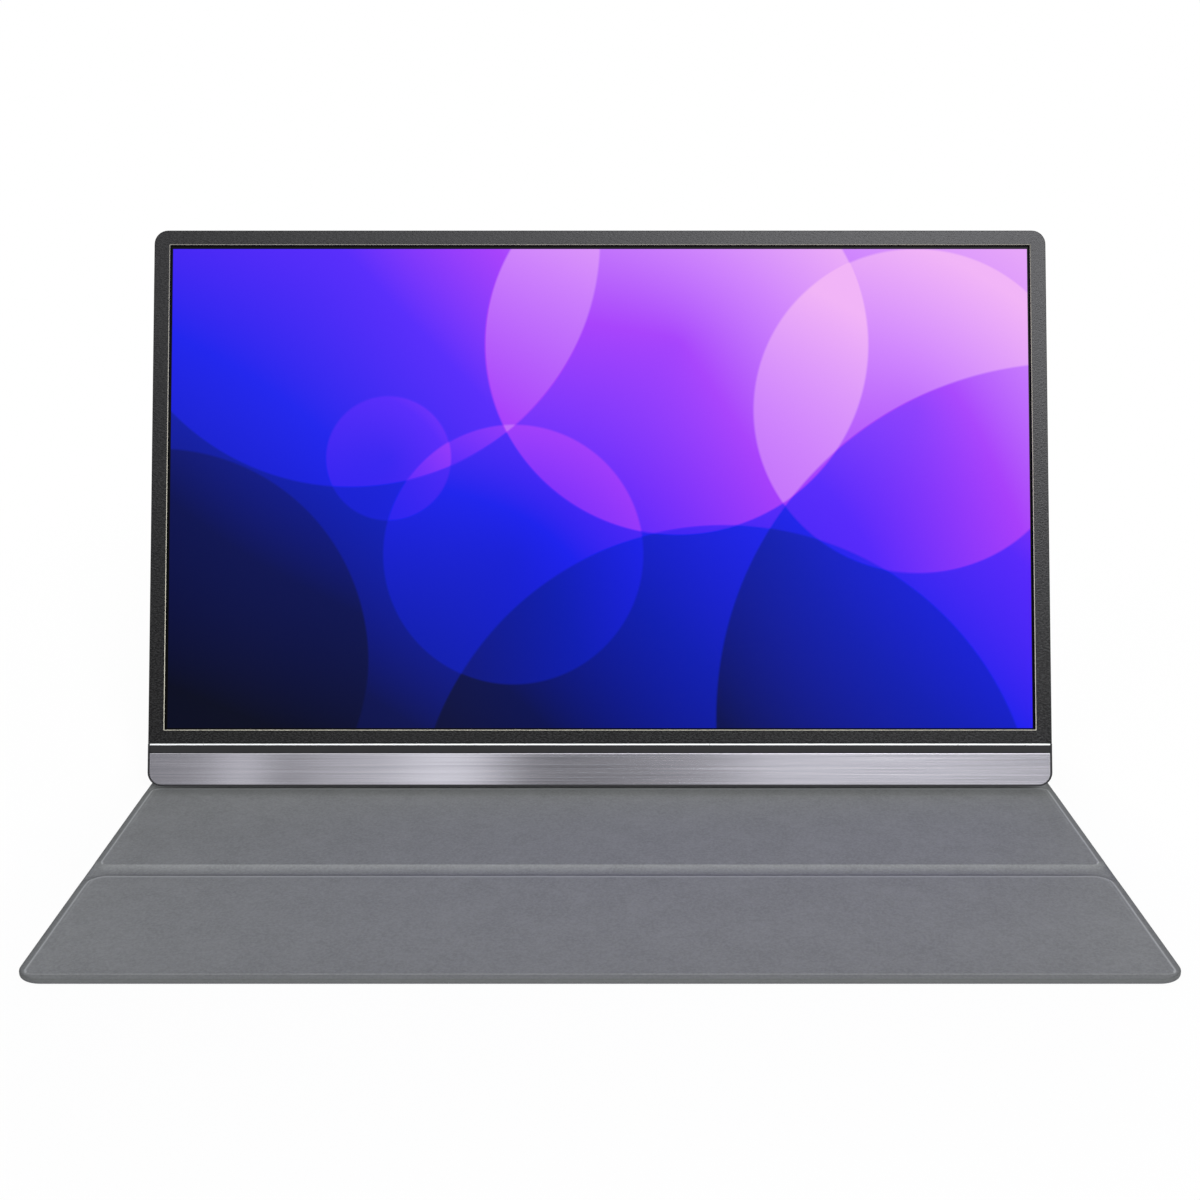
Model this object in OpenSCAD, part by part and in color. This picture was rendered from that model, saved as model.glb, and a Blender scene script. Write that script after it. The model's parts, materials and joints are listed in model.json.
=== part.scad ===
/* [Screen] */
// Width of the lit picture of a 15.6 inch 16:9 panel
active_w = 344.2; // [330:0.1:360]
// Height of the lit picture
active_h = 193.6; // [186:0.1:202]
// From the picture to the monitor's side edge
side_bezel = 7.2; // [6.8:0.1:9]
// From the picture to the monitor's top edge
top_bezel = 7.05; // [6.8:0.05:9]
// From the picture down to the lower edge of the bezel frame
lower_bezel = 5.2; // [5:0.05:6.5]
// Black gap between the picture and the bezel at the sides
side_gap = 0.85; // [0.5:0.05:1]
// Black gap between the picture and the bezel at the top
top_gap = 0.8; // [0.5:0.05:1]
// Black gap between the picture and the bezel at the bottom
low_gap = 0.4; // [0.2:0.05:0.6]
// Width of the bevel round the bezel's opening
opening_bevel = 0.45; // [0.2:0.05:0.7]

/* [Monitor body] */
// Thickness of the monitor
monitor_t = 9; // [9:0.1:10]
// Radius of the monitor's corners
corner_r = 5.5; // [3:0.1:7]
// Side wall of the rear housing
wall_t = 1.2; // [1:0.05:1.4]
// Back wall of the rear housing
back_t = 1; // [0.8:0.05:1.1]
// Thickness of the bezel frame
bezel_t = 1.2; // [1.1:0.05:1.3]
// Height of the brushed metal chin plate
chin_h = 12.3; // [11.5:0.1:14]
// Rim of the housing that frames the chin plate
rim_t = 0.65; // [0.5:0.05:0.9]
// Height of the black trim strip over the chin plate
trim_h = 2.95; // [2.5:0.05:3.5]
// Height of the bright accent strip
accent_h = 0.78; // [0.6:0.02:1]
// Seam between neighbouring front pieces
seam = 0.08; // [0.04:0.01:0.12]
// Depth of the chin plate under the front face
chin_recess = 0.1; // [0.05:0.05:0.3]
// Thickness of the inner carrier behind the chin
carrier_t = 0.8; // [0.6:0.1:0.9]
// Thickness of the chin plate
chin_t = 1; // [0.8:0.05:1]

/* [Cover] */
// How far the cover reaches past the monitor at each side
case_margin = 2; // [1:0.1:4]
// From the cover's front edge to the middle of the second groove
front_strip = 75; // [72:0.5:80]
// Between the middles of the two grooves
middle_strip = 78.5; // [74:0.5:82]
// How much longer the three strips are together than the monitor is high
cover_overhang = 1; // [0.5:0.1:3]
// Outer leather
skin_t = 0.6; // [0.5:0.05:0.8]
// Stiffening board inside each panel
board_t = 1; // [0.8:0.05:1.2]
// Inner lining
lining_t = 0.5; // [0.4:0.05:0.6]
// Soft border between a raised pad and the cover's edge
pad_inset = 2.8; // [2:0.1:4]
// Radius of the cover's outer corners
cover_r = 6; // [4:0.5:8]
// Radius of a pad's corners
pad_r = 3; // [2:0.5:4]
// Width of the two grooves that take the monitor's foot
groove_w = 9; // [8:0.1:11]
// Free leather on each side of a narrow fold line
fold_gap = 2.5; // [2.3:0.1:3]
// Width of the spine between its fold lines
spine_w = 11; // [10.8:0.1:12]
// From the monitor's lower edge up its back to the fold between the back panels
fold_height = 127.25; // [125:0.25:130]
// How much longer the leg panel is than that
foot_lift = 1.15; // [1.1:0.05:1.4]
// Angle that the leg leans more than the monitor
leg_lean = 0.27; // [0.1:0.01:0.28]
// Back edge of the monitor's foot in front of the groove's middle
foot_ahead = 1.35; // [0:0.05:2]
// How far the back panel reaches past the monitor's top edge
top_margin = 0.8; // [0.5:0.1:2]
// Cut-back of the leather's outer side at the fold between the back panels
fold_setback = 0.9; // [0.88:0.01:1]
// Gap between the monitor's back and the cover's pad
rest_gap = 0.05; // [0.02:0.01:0.1]

/* [Panel stack] */
// Metal tray behind the panel
tray_t = 0.3; // [0.2:0.05:0.35]
// Reflector sheet
reflector_t = 0.2; // [0.15:0.05:0.25]
// Light guide plate
guide_t = 0.6; // [0.5:0.05:0.65]
// Diffuser and prism films
films_t = 0.3; // [0.2:0.05:0.4]
// Plastic frame of the backlight
frame_t = 1.3; // [1.2:0.05:1.35]
// Glass cell with its polarisers
cell_t = 1.2; // [1.1:0.05:1.25]
// Foam gasket between the cell and the bezel
gasket_t = 0.3; // [0.2:0.05:0.4]
// Glass border beside and over the picture
cell_border = 2.4; // [2.2:0.1:2.6]
// Glass ledge under the picture
cell_ledge = 4.3; // [4:0.1:4.4]
// Width of the backlight frame's sides
frame_w = 2.2; // [1.8:0.1:2.4]
// Number of light emitting diodes
led_count = 48; // [24:1:60]
// Number of driver films
film_count = 8; // [4:1:10]
// Width of one driver film
film_w = 20; // [14:1:22]

/* [Ports] */
// Width of a USB-C receptacle
usb_w = 8.94; // [8.9:0.02:9.1]
// Height of a USB-C receptacle
usb_h = 3.26; // [3.2:0.02:3.3]
// Depth of a USB-C receptacle
usb_d = 7.3; // [7:0.1:8]
// Sheet thickness of the port shells
shell_t = 0.3; // [0.25:0.01:0.35]
// Width of the mini HDMI receptacle
hdmi_w = 11.2; // [11:0.1:11.5]
// Height of the mini HDMI receptacle
hdmi_h = 3.2; // [3.1:0.05:3.3]
// Depth of the mini HDMI receptacle
hdmi_d = 7.5; // [7:0.1:8]
// Lower USB-C port above the monitor's lower edge
usb_low_s = 34; // [32:0.5:36]
// Upper USB-C port above the monitor's lower edge
usb_up_s = 48; // [46:0.5:50]
// Mini HDMI port above the monitor's lower edge
hdmi_s = 64; // [62:0.5:66]
// Clearance of a port in the housing wall
port_clear = 0.15; // [0.1:0.05:0.25]
// Bore radius of the audio jack
jack_r = 1.8; // [1.75:0.01:1.85]
// Outer radius of the audio jack's nose
jack_nose_r = 2.6; // [2.4:0.1:2.8]
// Length of the audio jack's body
jack_l = 12; // [11:0.5:14]
// Width of the audio jack's body
jack_w = 7; // [6:0.5:8]
// Audio jack above the monitor's lower edge
jack_s = 9; // [8:0.25:9.5]

/* [Controls] */
// Length of the power button
button_l = 12; // [9:0.5:14]
// Height of the power button
button_h = 2; // [1.6:0.1:2.1]
// How far the power button stands out
button_out = 0.6; // [0.4:0.1:0.9]
// Power button above the monitor's lower edge
button_s = 71; // [70:0.5:73]
// Travel of the power button
button_travel = 0.35; // [0.2:0.05:0.4]
// Radius of the dial wheel
wheel_r = 5.5; // [5:0.1:6]
// Thickness of the dial wheel
wheel_t = 1.8; // [1.5:0.1:1.9]
// How far the dial wheel stands out
wheel_out = 1.1; // [0.8:0.1:1.5]
// Dial wheel above the monitor's lower edge
wheel_s = 48; // [46:0.5:50]
// Radius of the wheel's pin
wheel_pin_r = 1; // [0.8:0.05:1.2]
// Running clearance round the wheel's pin
pin_clear = 0.04; // [0.02:0.01:0.08]
// Travel of the wheel when it is pushed in
wheel_travel = 0.3; // [0.2:0.05:0.35]
// Number of grip notches round the wheel
notch_count = 28; // [16:1:36]

/* [Boards and sound] */
// Thickness of the circuit boards
pcb_t = 0.8; // [0.6:0.1:0.9]
// Width of the scaler board
scaler_w = 58; // [54:1:60]
// Height of the scaler board
scaler_h = 90; // [86:1:96]
// Lower edge of the two side boards above the monitor's lower edge
board_s = 22; // [21:0.5:24]
// Standoff of the scaler board over the back wall
standoff_h = 0.9; // [0.8:0.1:1]
// Width of the button board
button_board_w = 24; // [22:1:30]
// Height of the button board
button_board_l = 74; // [72:1:80]
// Length of a speaker
speaker_l = 40; // [34:1:44]
// Height of a speaker
speaker_h = 10; // [8:0.5:10.5]
// Thickness of a speaker
speaker_t = 4; // [3:0.1:4.4]
// From the monitor's side to a speaker
speaker_inset = 19.3; // [19:0.1:22]
// Radius of a holding magnet
magnet_r = 5; // [4:0.5:6]
// Thickness of a holding magnet in the housing
magnet_t = 1.2; // [1:0.1:1.5]

/* [Hidden] */
$fn = 64;

// Small overlap that makes cuts and joins sure
lap = 0.5;

// Heights on the monitor's face, measured up from its lower edge
chin_top = rim_t + chin_h;
trim_low = chin_top + seam;
accent_low = trim_low + trim_h + seam;
bezel_low = accent_low + accent_h + seam;
active_s = bezel_low + lower_bezel;
monitor_w = active_w + 2 * side_bezel;
monitor_h = active_s + active_h + top_bezel;
side = monitor_w / 2;
front_z = monitor_t;
shoulder_z = monitor_t - bezel_t;
chin_z = monitor_t - chin_recess - chin_t;

// Depths of the panel's layers, measured forward from the monitor's back face
gasket_z = shoulder_z - gasket_t;
cell_z = gasket_z - cell_t;
frame_z = cell_z - frame_t;
tray_z = frame_z - tray_t;
guide_z = frame_z + reflector_t;
films_z = guide_z + guide_t;

// The cover as a flat sheet: its outer face is at z = 0
web_t = skin_t + lining_t;
pad_z = web_t + board_t;
case_w = monitor_w + 2 * case_margin;
rear_strip = monitor_h + cover_overhang - front_strip - middle_strip;
half_groove = groove_w / 2;
spine_y = rear_strip + spine_w;
leg_len = fold_height + foot_lift;
panel_len = monitor_h - fold_height + top_margin;
axis_gap = board_t + rest_gap;

// The tilt at which the monitor's foot stands over the first groove
reach_cos = fold_height + leg_len * cos(leg_lean);
reach_sin = axis_gap + leg_len * sin(leg_lean);
reach = spine_y + foot_ahead;
tilt = atan2(reach_sin, reach_cos) + acos(reach / sqrt(reach_cos * reach_cos + reach_sin * reach_sin));
leg_angle = tilt - leg_lean;
fold_y = spine_y - leg_len * cos(leg_angle);
fold_z = web_t + leg_len * sin(leg_angle);
foot_y = fold_y - fold_height * cos(tilt) - axis_gap * sin(tilt);
foot_z = fold_z - fold_height * sin(tilt) + axis_gap * cos(tilt);

// Side walls, ports and boards
port_z = back_t + 0.2;
port_mid_z = port_z + usb_h / 2;
board_edge = wall_t + 1.3;
scaler_z = back_t + standoff_h;
scaler_x1 = side - board_edge;
scaler_x0 = scaler_x1 - scaler_w;
scaler_top = scaler_z + pcb_t;
small_board_z = back_t + 0.05;
small_board_top = small_board_z + pcb_t;
button_board_x0 = -side + board_edge;
button_board_x1 = button_board_x0 + button_board_w;
jack_body_h = 4.5;
jack_z = small_board_top + jack_body_h / 2;

// Power button and dial wheel
button_z = small_board_top + 0.35 + button_h / 2;
flange_t = 0.8;
stem_x = -side + 4.4;
plunger_gap = 0.05;
wheel_x = -side - wheel_out + wheel_r;
wheel_z = small_board_top + 0.75;
slab_z = small_board_top + 0.1;
slab_t = 0.5;
arm_x = wheel_x + wheel_r + 1.2;
block_w = 4;
encoder_wall = 0.9;
encoder_h = 2.3;

// Chin carrier and the driver board behind it
carrier_z = chin_z - carrier_t;
driver_board_inset = 64.3;
driver_board_l = 2 * (side - driver_board_inset);
driver_board_h = 9.5;
driver_board_s = 6;
film_rise = 6.5;
driver_board_z = frame_z + 0.2;
driver_top = driver_board_z + pcb_t;
film_t = 0.1;
film_s = active_s - cell_ledge - 1;
cable_t = 0.3;
wire_r = 0.35;
post_r = 1.3;

// Places of the magnets
magnet_xs = [-150, -75, 0, 75, 150];
magnet_rows = [0.25, 0.8];
bar_l = 20;
bar_xs = [-135, -45, 45, 135];

// Plain outline from y0 to y1, with the given corner radii at its low and high end
module outline(w, y0, y1, r0, r1) {
    translate([-w / 2, y0 + r0]) square([w, y1 - y0 - r0 - r1]);
    if (r0 > 0) {
        translate([-w / 2 + r0, y0]) square([w - 2 * r0, r0 + lap]);
        for (x = [-w / 2 + r0, w / 2 - r0]) translate([x, y0 + r0]) circle(r0);
    }
    if (r1 > 0) {
        translate([-w / 2 + r1, y1 - r1 - lap]) square([w - 2 * r1, r1 + lap]);
        for (x = [-w / 2 + r1, w / 2 - r1]) translate([x, y1 - r1]) circle(r1);
    }
}

module plate(w, y0, y1, r0, r1, z0, z1) {
    translate([0, 0, z0]) linear_extrude(z1 - z0) outline(w, y0, y1, r0, r1);
}

// Box between two corners
module block(a, b) {
    translate(a) cube(b - a);
}

// A flat drawing in y and z, run along x
module along_x(l) {
    rotate([90, 0, 90]) linear_extrude(l, center = true) children();
}

// Round bar along x from x0 to x1
module bar_x(x0, x1, s, z, r) {
    translate([x0, s, z]) rotate([0, 90, 0]) cylinder(h = x1 - x0, r = r);
}

// Rounded slot outline as a port has it, run along x
module stadium(x0, x1, s, z, w, h) {
    block([x0, s - w / 2 + h / 2, z - h / 2], [x1, s + w / 2 - h / 2, z + h / 2]);
    for (e = [-1, 1]) bar_x(x0, x1, s + e * (w - h) / 2, z, h / 2);
}

// Places of the moving assemblies
module in_monitor() {
    translate([0, foot_y, foot_z]) rotate([tilt, 0, 0]) children();
}

module in_leg() {
    translate([0, spine_y, web_t]) rotate([180 - leg_angle, 0, 0]) translate([0, 0, -web_t]) children();
}

module in_back_panel() {
    translate([0, fold_y, fold_z]) rotate([tilt, 0, 0]) translate([0, 0, -web_t]) children();
}

// Cover layers of one flat panel: y0 to y1 with its free leather, p0 to p1 its raised pad
module panel_skin(y0, y1, r0, r1) {
    plate(case_w, y0, y1, r0, r1, 0, skin_t);
}

module panel_board(p0, p1) {
    w = case_w - 2 * (pad_inset + lining_t);
    plate(w, p0 + lining_t, p1 - lining_t, pad_r - lining_t, pad_r - lining_t, skin_t, skin_t + board_t);
}

module panel_lining(y0, y1, r0, r1, p0, p1) {
    difference() {
        union() {
            plate(case_w, y0, y1, r0, r1, skin_t, web_t);
            plate(case_w - 2 * pad_inset, p0, p1, pad_r, pad_r, skin_t, pad_z);
        }
        panel_board(p0, p1);
    }
}

// Slanted cut that lets the outer sides of two panels fold towards each other
module fold_cut(y, e) {
    along_x(case_w + 2)
        polygon([
            [y, web_t],
            [y - e * 1.5 * fold_setback, -0.5 * web_t],
            [y + e * 2, -0.5 * web_t],
            [y + e * 2, web_t]
        ]);
}

// Rear housing: a shallow tray that closes the back and the sides
module rear_housing() {
    color([0.20, 0.20, 0.21]) in_monitor() {
        difference() {
            union() {
                plate(monitor_w, 0, monitor_h, corner_r, corner_r, 0, shoulder_z);
                plate(monitor_w, 0, bezel_low - seam, corner_r, 0, 0, front_z);
            }
            plate(
                monitor_w - 2 * wall_t, wall_t, monitor_h - wall_t,
                corner_r - wall_t, corner_r - wall_t, back_t, front_z + lap
            );
            plate(monitor_w - 2 * rim_t, rim_t, bezel_low, corner_r - rim_t, 0, chin_z, front_z + lap);
            for (s = [usb_low_s, usb_up_s])
                stadium(
                    side - wall_t - lap, side + lap, s, port_mid_z,
                    usb_w + 2 * port_clear, usb_h + 2 * port_clear
                );
            block(
                [side - wall_t - lap, hdmi_s - hdmi_w / 2 - port_clear, port_z - port_clear],
                [side + lap, hdmi_s + hdmi_w / 2 + port_clear, port_z + hdmi_h + port_clear]
            );
            bar_x(-side - lap, -side + wall_t + lap, jack_s, jack_z, jack_nose_r + 0.05);
            block(
                [-side - lap, button_s - button_l / 2 - port_clear, button_z - button_h / 2 - port_clear],
                [-side + wall_t + lap, button_s + button_l / 2 + port_clear, button_z + button_h / 2 + port_clear]
            );
            wheel_slot();
            bar_x(-side - lap, -side + wall_t + lap, led_s, led_z, led_r + 0.03);
            for (e = [-1, 1]) for (i = [0 : 11])
                stadium_z(e * (speaker_x - 16.5 + 3 * i), speaker_s + speaker_h / 2 - 3.5, 7);
        }
        for (p = scaler_posts) boss(p[0], p[1], standoff_h);
    }
}

// Sound slot through the back wall
module stadium_z(x, s, l) {
    w = 1.2;
    block([x - w / 2, s + w / 2, -lap], [x + w / 2, s + l - w / 2, back_t + 0.02]);
    for (y = [s + w / 2, s + l - w / 2]) translate([x, y, -lap]) cylinder(h = lap + back_t + 0.02, r = w / 2);
}

// Screw boss on the back wall
boss_r = 2.2;
screw_r = 0.8;
module boss(x, s, h) {
    translate([x, s, back_t]) difference() {
        translate([0, 0, -0.2]) cylinder(h = h + 0.2, r = boss_r);
        cylinder(h = h + lap, r = screw_r);
    }
}

scaler_posts = [
    [scaler_x0 + 5, board_s + 5],
    [scaler_x0 + 5, board_s + scaler_h - 5],
    [scaler_x1 - 5, board_s + scaler_h - 5],
    [scaler_x0 + 5, board_s + scaler_h / 2]
];
speaker_s = wall_t + 1;
speaker_x = side - speaker_inset - speaker_l / 2;
led_r = 0.6;
led_s = button_s + 15;
led_z = small_board_top + 1.2;

module wheel_slot() {
    block(
        [-side - lap, wheel_s - wheel_r + 0.4, wheel_z - 0.35],
        [-side + wall_t + lap, wheel_s + wheel_r - 0.4, wheel_z + wheel_t + 0.35]
    );
}

// Bezel frame round the screen, with a bevelled opening
open_s0 = active_s - low_gap;
open_s1 = active_s + active_h + top_gap;
open_w = active_w + 2 * side_gap;
module front_bezel() {
    color([0.23, 0.23, 0.23]) in_monitor() difference() {
        plate(monitor_w, bezel_low, monitor_h, 0, corner_r, shoulder_z, front_z);
        plate(open_w, open_s0, open_s1, 0, 0, shoulder_z - lap, front_z + lap);
        hull() {
            plate(open_w, open_s0, open_s1, 0, 0, front_z - opening_bevel, front_z - opening_bevel + 0.01);
            plate(
                open_w + 2 * opening_bevel + 0.2, open_s0 - opening_bevel - 0.1,
                open_s1 + opening_bevel + 0.1, 0, 0, front_z + 0.1, front_z + 0.11
            );
        }
    }
}

// Brushed plate across the lower edge
module chin_plate() {
    color([0.62, 0.61, 0.64]) in_monitor()
        plate(
            monitor_w - 2 * (rim_t + seam), rim_t + seam, chin_top,
            corner_r - rim_t - seam, 0, chin_z, chin_z + chin_t
        );
}

module trim_strip() {
    color([0.16, 0.16, 0.17]) in_monitor()
        plate(monitor_w - 2 * (rim_t + seam), trim_low, trim_low + trim_h, 0, 0, chin_z, front_z - 2 * chin_recess);
}

module accent_strip() {
    color([0.92, 0.93, 0.94]) in_monitor()
        plate(monitor_w - 2 * (rim_t + seam), accent_low, accent_low + accent_h, 0, 0, chin_z, front_z);
}

// Inner carrier that the chin pieces lie on, with posts down to the back wall
post_s = speaker_s + speaker_h + 2.7;
low_post_s = driver_board_s / 2 + 0.4;
carrier_posts = [
    for (e = [-1, 1]) for (d = [-1, 1]) [e * (speaker_x + d * speaker_l / 2), post_s],
    for (k = [-0.35, 0, 0.35]) [k * driver_board_l, low_post_s]
];
board_posts = [-0.435, -0.17, 0.17, 0.38];
module chin_carrier() {
    color([0.13, 0.13, 0.14]) in_monitor() {
        plate(
            monitor_w - 2 * wall_t - 0.1, wall_t + 0.05, film_s - 0.3,
            corner_r - wall_t, 0, carrier_z, chin_z
        );
        for (p = carrier_posts)
            translate([p[0], p[1], back_t]) cylinder(h = carrier_z - back_t + 0.2, r = post_r);
        for (k = board_posts)
            translate([k * driver_board_l, driver_board_s + driver_board_h / 2, driver_top])
                cylinder(h = carrier_z - driver_top + 0.2, r = post_r);
        block([-side + wall_t + 0.05, film_s - 0.3, chin_z - 0.4], [side - wall_t - 0.05, bezel_low, chin_z]);
    }
}

// Panel layers
cell_w = active_w + 2 * cell_border;
cell_s0 = active_s - cell_ledge;
cell_s1 = active_s + active_h + cell_border;
module lcd_cell() {
    color([0.02, 0.02, 0.05]) in_monitor() plate(cell_w, cell_s0, cell_s1, 0, 0, cell_z, gasket_z);
}

module screen_gasket() {
    color([0.05, 0.05, 0.05]) in_monitor() difference() {
        plate(cell_w - 0.4, cell_s0 + 0.4, cell_s1 - 0.2, 0, 0, gasket_z, shoulder_z);
        plate(open_w + 0.6, open_s0 - 0.5, open_s1 + 0.4, 0, 0, gasket_z - lap, shoulder_z + lap);
    }
}

ring_w = cell_w + 0.4;
ring_s0 = cell_s0 - 0.2;
ring_s1 = cell_s1 + 0.2;
module backlight_frame() {
    color([0.93, 0.93, 0.92]) in_monitor() difference() {
        plate(ring_w, ring_s0, ring_s1, 0, 0, frame_z, cell_z);
        plate(ring_w - 2 * frame_w, ring_s0 + frame_w, ring_s1 - frame_w, 0, 0, frame_z - lap, cell_z + lap);
    }
}

// Thin metal tray with turned-up edges
module panel_tray() {
    color([0.75, 0.76, 0.78]) in_monitor() {
        w = ring_w + 0.1 + 2 * tray_t;
        difference() {
            plate(w, ring_s0 - 0.05 - tray_t, ring_s1 + 0.05 + tray_t, 0, 0, tray_z, cell_z - 0.1);
            plate(w - 2 * tray_t, ring_s0 - 0.05, ring_s1 + 0.05, 0, 0, frame_z, cell_z + lap);
        }
    }
}

inner_w = ring_w - 2 * frame_w - 0.1;
guide_s0 = active_s - 0.3;
guide_s1 = ring_s1 - frame_w - 0.05;
module reflector_sheet() {
    color([0.97, 0.97, 0.97]) in_monitor() plate(inner_w, guide_s0, guide_s1, 0, 0, frame_z, guide_z);
}

module light_guide() {
    color([0.80, 0.90, 0.93, 0.5]) in_monitor() plate(inner_w, guide_s0, guide_s1, 0, 0, guide_z, films_z);
}

module prism_films() {
    color([0.90, 0.92, 0.95]) in_monitor() plate(inner_w, guide_s0, guide_s1, 0, 0, films_z, films_z + films_t);
}

led_strip_t = 0.15;
module led_bar() {
    color([0.95, 0.90, 0.60]) in_monitor() {
        s0 = ring_s0 + frame_w + 0.05;
        s1 = guide_s0 - 0.05;
        plate(inner_w, s0, s1, 0, 0, frame_z, frame_z + led_strip_t);
        for (i = [0 : led_count - 1])
            translate([(i + 0.5) * inner_w / led_count - inner_w / 2 - 1.5, s1 - 0.7, frame_z + led_strip_t - 0.05])
                cube([3, 0.65, 0.6]);
    }
}

module panel_driver_board() {
    color([0.10, 0.30, 0.16]) in_monitor()
        plate(
            driver_board_l, driver_board_s, driver_board_s + driver_board_h,
            0, 0, driver_board_z, driver_top
        );
}

// Thin films that step down from the glass to the driver board
module driver_films() {
    color([0.72, 0.45, 0.15]) in_monitor()
        for (i = [0 : film_count - 1]) {
            x = (i + 0.5) * (driver_board_l - 4) / film_count - driver_board_l / 2 + 2 - film_w / 2;
            high = cell_z + 0.6;
            block([x, driver_board_s + film_rise, driver_top], [x + film_w, film_s, driver_top + film_t]);
            block([x, film_s - film_t, driver_top], [x + film_w, film_s, high]);
            block([x, film_s - film_t, high - film_t], [x + film_w, cell_s0, high]);
        }
}

// Flat cable from the scaler board to the driver board
cable_w = 16;
cable_x = driver_board_l / 2 - cable_w - 7;
cable_rise = 10;
cable_reach = 9;
cable_band = 12;
module display_cable() {
    color([0.85, 0.80, 0.65]) in_monitor() {
        s0 = driver_board_s + 1;
        low = scaler_top;
        block([cable_x, s0, driver_board_z - cable_t], [cable_x + cable_w, s0 + 5, driver_board_z]);
        block([cable_x, s0, low], [cable_x + cable_w, s0 + cable_t, driver_board_z]);
        s1 = board_s + cable_rise;
        block([cable_x, s0, low], [cable_x + cable_w, s1 + cable_band, low + cable_t]);
        block([cable_x, s1, low], [scaler_x0 + cable_reach, s1 + cable_band, low + cable_t]);
    }
}

// Scaler board, notched for the ports that sink into its edge
module scaler_board() {
    color([0.08, 0.33, 0.20]) in_monitor() difference() {
        block([scaler_x0, board_s, scaler_z], [scaler_x1, board_s + scaler_h, scaler_top]);
        for (s = [usb_low_s, usb_up_s])
            block([side - usb_d - 0.2, s - usb_w / 2 - 0.02, 0], [side, s + usb_w / 2 + 0.02, monitor_t]);
        block([side - hdmi_d - 0.2, hdmi_s - hdmi_w / 2 - 0.02, 0], [side, hdmi_s + hdmi_w / 2 + 0.02, monitor_t]);
        for (p = scaler_posts) translate([p[0], p[1], 0]) cylinder(h = monitor_t, r = screw_r + 0.1);
    }
}

can_t = 0.2;
can = [24, 20, 1.7];
can_x = scaler_x0 + 18;
can_s = board_s + 30;
module shield_can() {
    color([0.80, 0.81, 0.82]) in_monitor() difference() {
        block([can_x, can_s, scaler_top], [can_x + can[0], can_s + can[1], scaler_top + can[2]]);
        block(
            [can_x + can_t, can_s + can_t, scaler_top - lap],
            [can_x + can[0] - can_t, can_s + can[1] - can_t, scaler_top + can[2] - can_t]
        );
    }
}

// Chips and coils as separate solids: x and s on the scaler board, then their sizes
chips = [
    [24, 34, 12, 12, 1.0], [45, 10, 5, 5, 0.8], [34, 13, 4, 4, 1.6], [34, 19, 4, 4, 1.6],
    [22, 60, 5, 4, 0.9], [35, 62, 8, 6, 1.0], [22, 70, 3, 3, 1.2], [48, 62, 4, 4, 1.4]
];
module board_chips() {
    color([0.08, 0.08, 0.09]) in_monitor() {
        for (c = chips)
            translate([scaler_x0 + c[0], board_s + c[1], scaler_top]) cube([c[2], c[3], c[4]]);
        translate([button_board_x0 + 8, board_s + 6, small_board_top]) cube([6, 6, 1]);
        translate([-side + 4, led_s - 0.8, small_board_top]) cube([1.6, 1.6, 1.6]);
    }
}

module usb_port(s) {
    inner_w = usb_w - 2 * shell_t;
    inner_h = usb_h - 2 * shell_t;
    difference() {
        stadium(side - usb_d, side - 0.1, s, port_mid_z, usb_w, usb_h);
        stadium(side - usb_d + 1, side + lap, s, port_mid_z, inner_w, inner_h);
    }
    block([side - usb_d + 0.9, s - 3.35, port_mid_z - 0.35], [side - 1.2, s + 3.35, port_mid_z + 0.35]);
}

module usb_c_port_lower() {
    color([0.78, 0.79, 0.80]) in_monitor() usb_port(usb_low_s);
}

module usb_c_port_upper() {
    color([0.78, 0.79, 0.80]) in_monitor() usb_port(usb_up_s);
}

module mini_hdmi_port() {
    color([0.78, 0.79, 0.80]) in_monitor() {
        difference() {
            block(
                [side - hdmi_d, hdmi_s - hdmi_w / 2, port_z],
                [side - 0.1, hdmi_s + hdmi_w / 2, port_z + hdmi_h]
            );
            translate([side - hdmi_d + 1, 0, 0]) rotate([90, 0, 90]) linear_extrude(hdmi_d)
                polygon([
                    [hdmi_s - hdmi_w / 2 + shell_t + 0.7, port_z + shell_t],
                    [hdmi_s + hdmi_w / 2 - shell_t - 0.7, port_z + shell_t],
                    [hdmi_s + hdmi_w / 2 - shell_t, port_z + shell_t + 0.9],
                    [hdmi_s + hdmi_w / 2 - shell_t, port_z + hdmi_h - shell_t],
                    [hdmi_s - hdmi_w / 2 + shell_t, port_z + hdmi_h - shell_t],
                    [hdmi_s - hdmi_w / 2 + shell_t, port_z + shell_t + 0.9]
                ]);
        }
        block(
            [side - hdmi_d + 0.9, hdmi_s - 3.8, port_z + hdmi_h / 2 - 0.3],
            [side - 1.4, hdmi_s + 3.8, port_z + hdmi_h / 2 + 0.3]
        );
    }
}

// Headphone socket with a true bore
module audio_jack() {
    color([0.10, 0.10, 0.10]) in_monitor() difference() {
        union() {
            block(
                [-side + wall_t + 0.05, jack_s - jack_w / 2, small_board_top],
                [-side + wall_t + jack_l, jack_s + jack_w / 2, small_board_top + jack_body_h]
            );
            bar_x(-side + 0.1, -side + wall_t + lap, jack_s, jack_z, jack_nose_r);
        }
        bar_x(-side - lap, -side + jack_l, jack_s, jack_z, jack_r);
    }
}

module audio_board() {
    color([0.08, 0.33, 0.20]) in_monitor()
        block(
            [-side + wall_t + lap + 0.1, jack_s - jack_w / 2 - 1.5, back_t],
            [-side + wall_t + jack_l + 3, jack_s + jack_w / 2 + 1.2, small_board_top]
        );
}

module button_board() {
    color([0.08, 0.33, 0.20]) in_monitor()
        block(
            [button_board_x0, board_s, back_t],
            [button_board_x1, board_s + button_board_l, small_board_top]
        );
}

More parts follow.
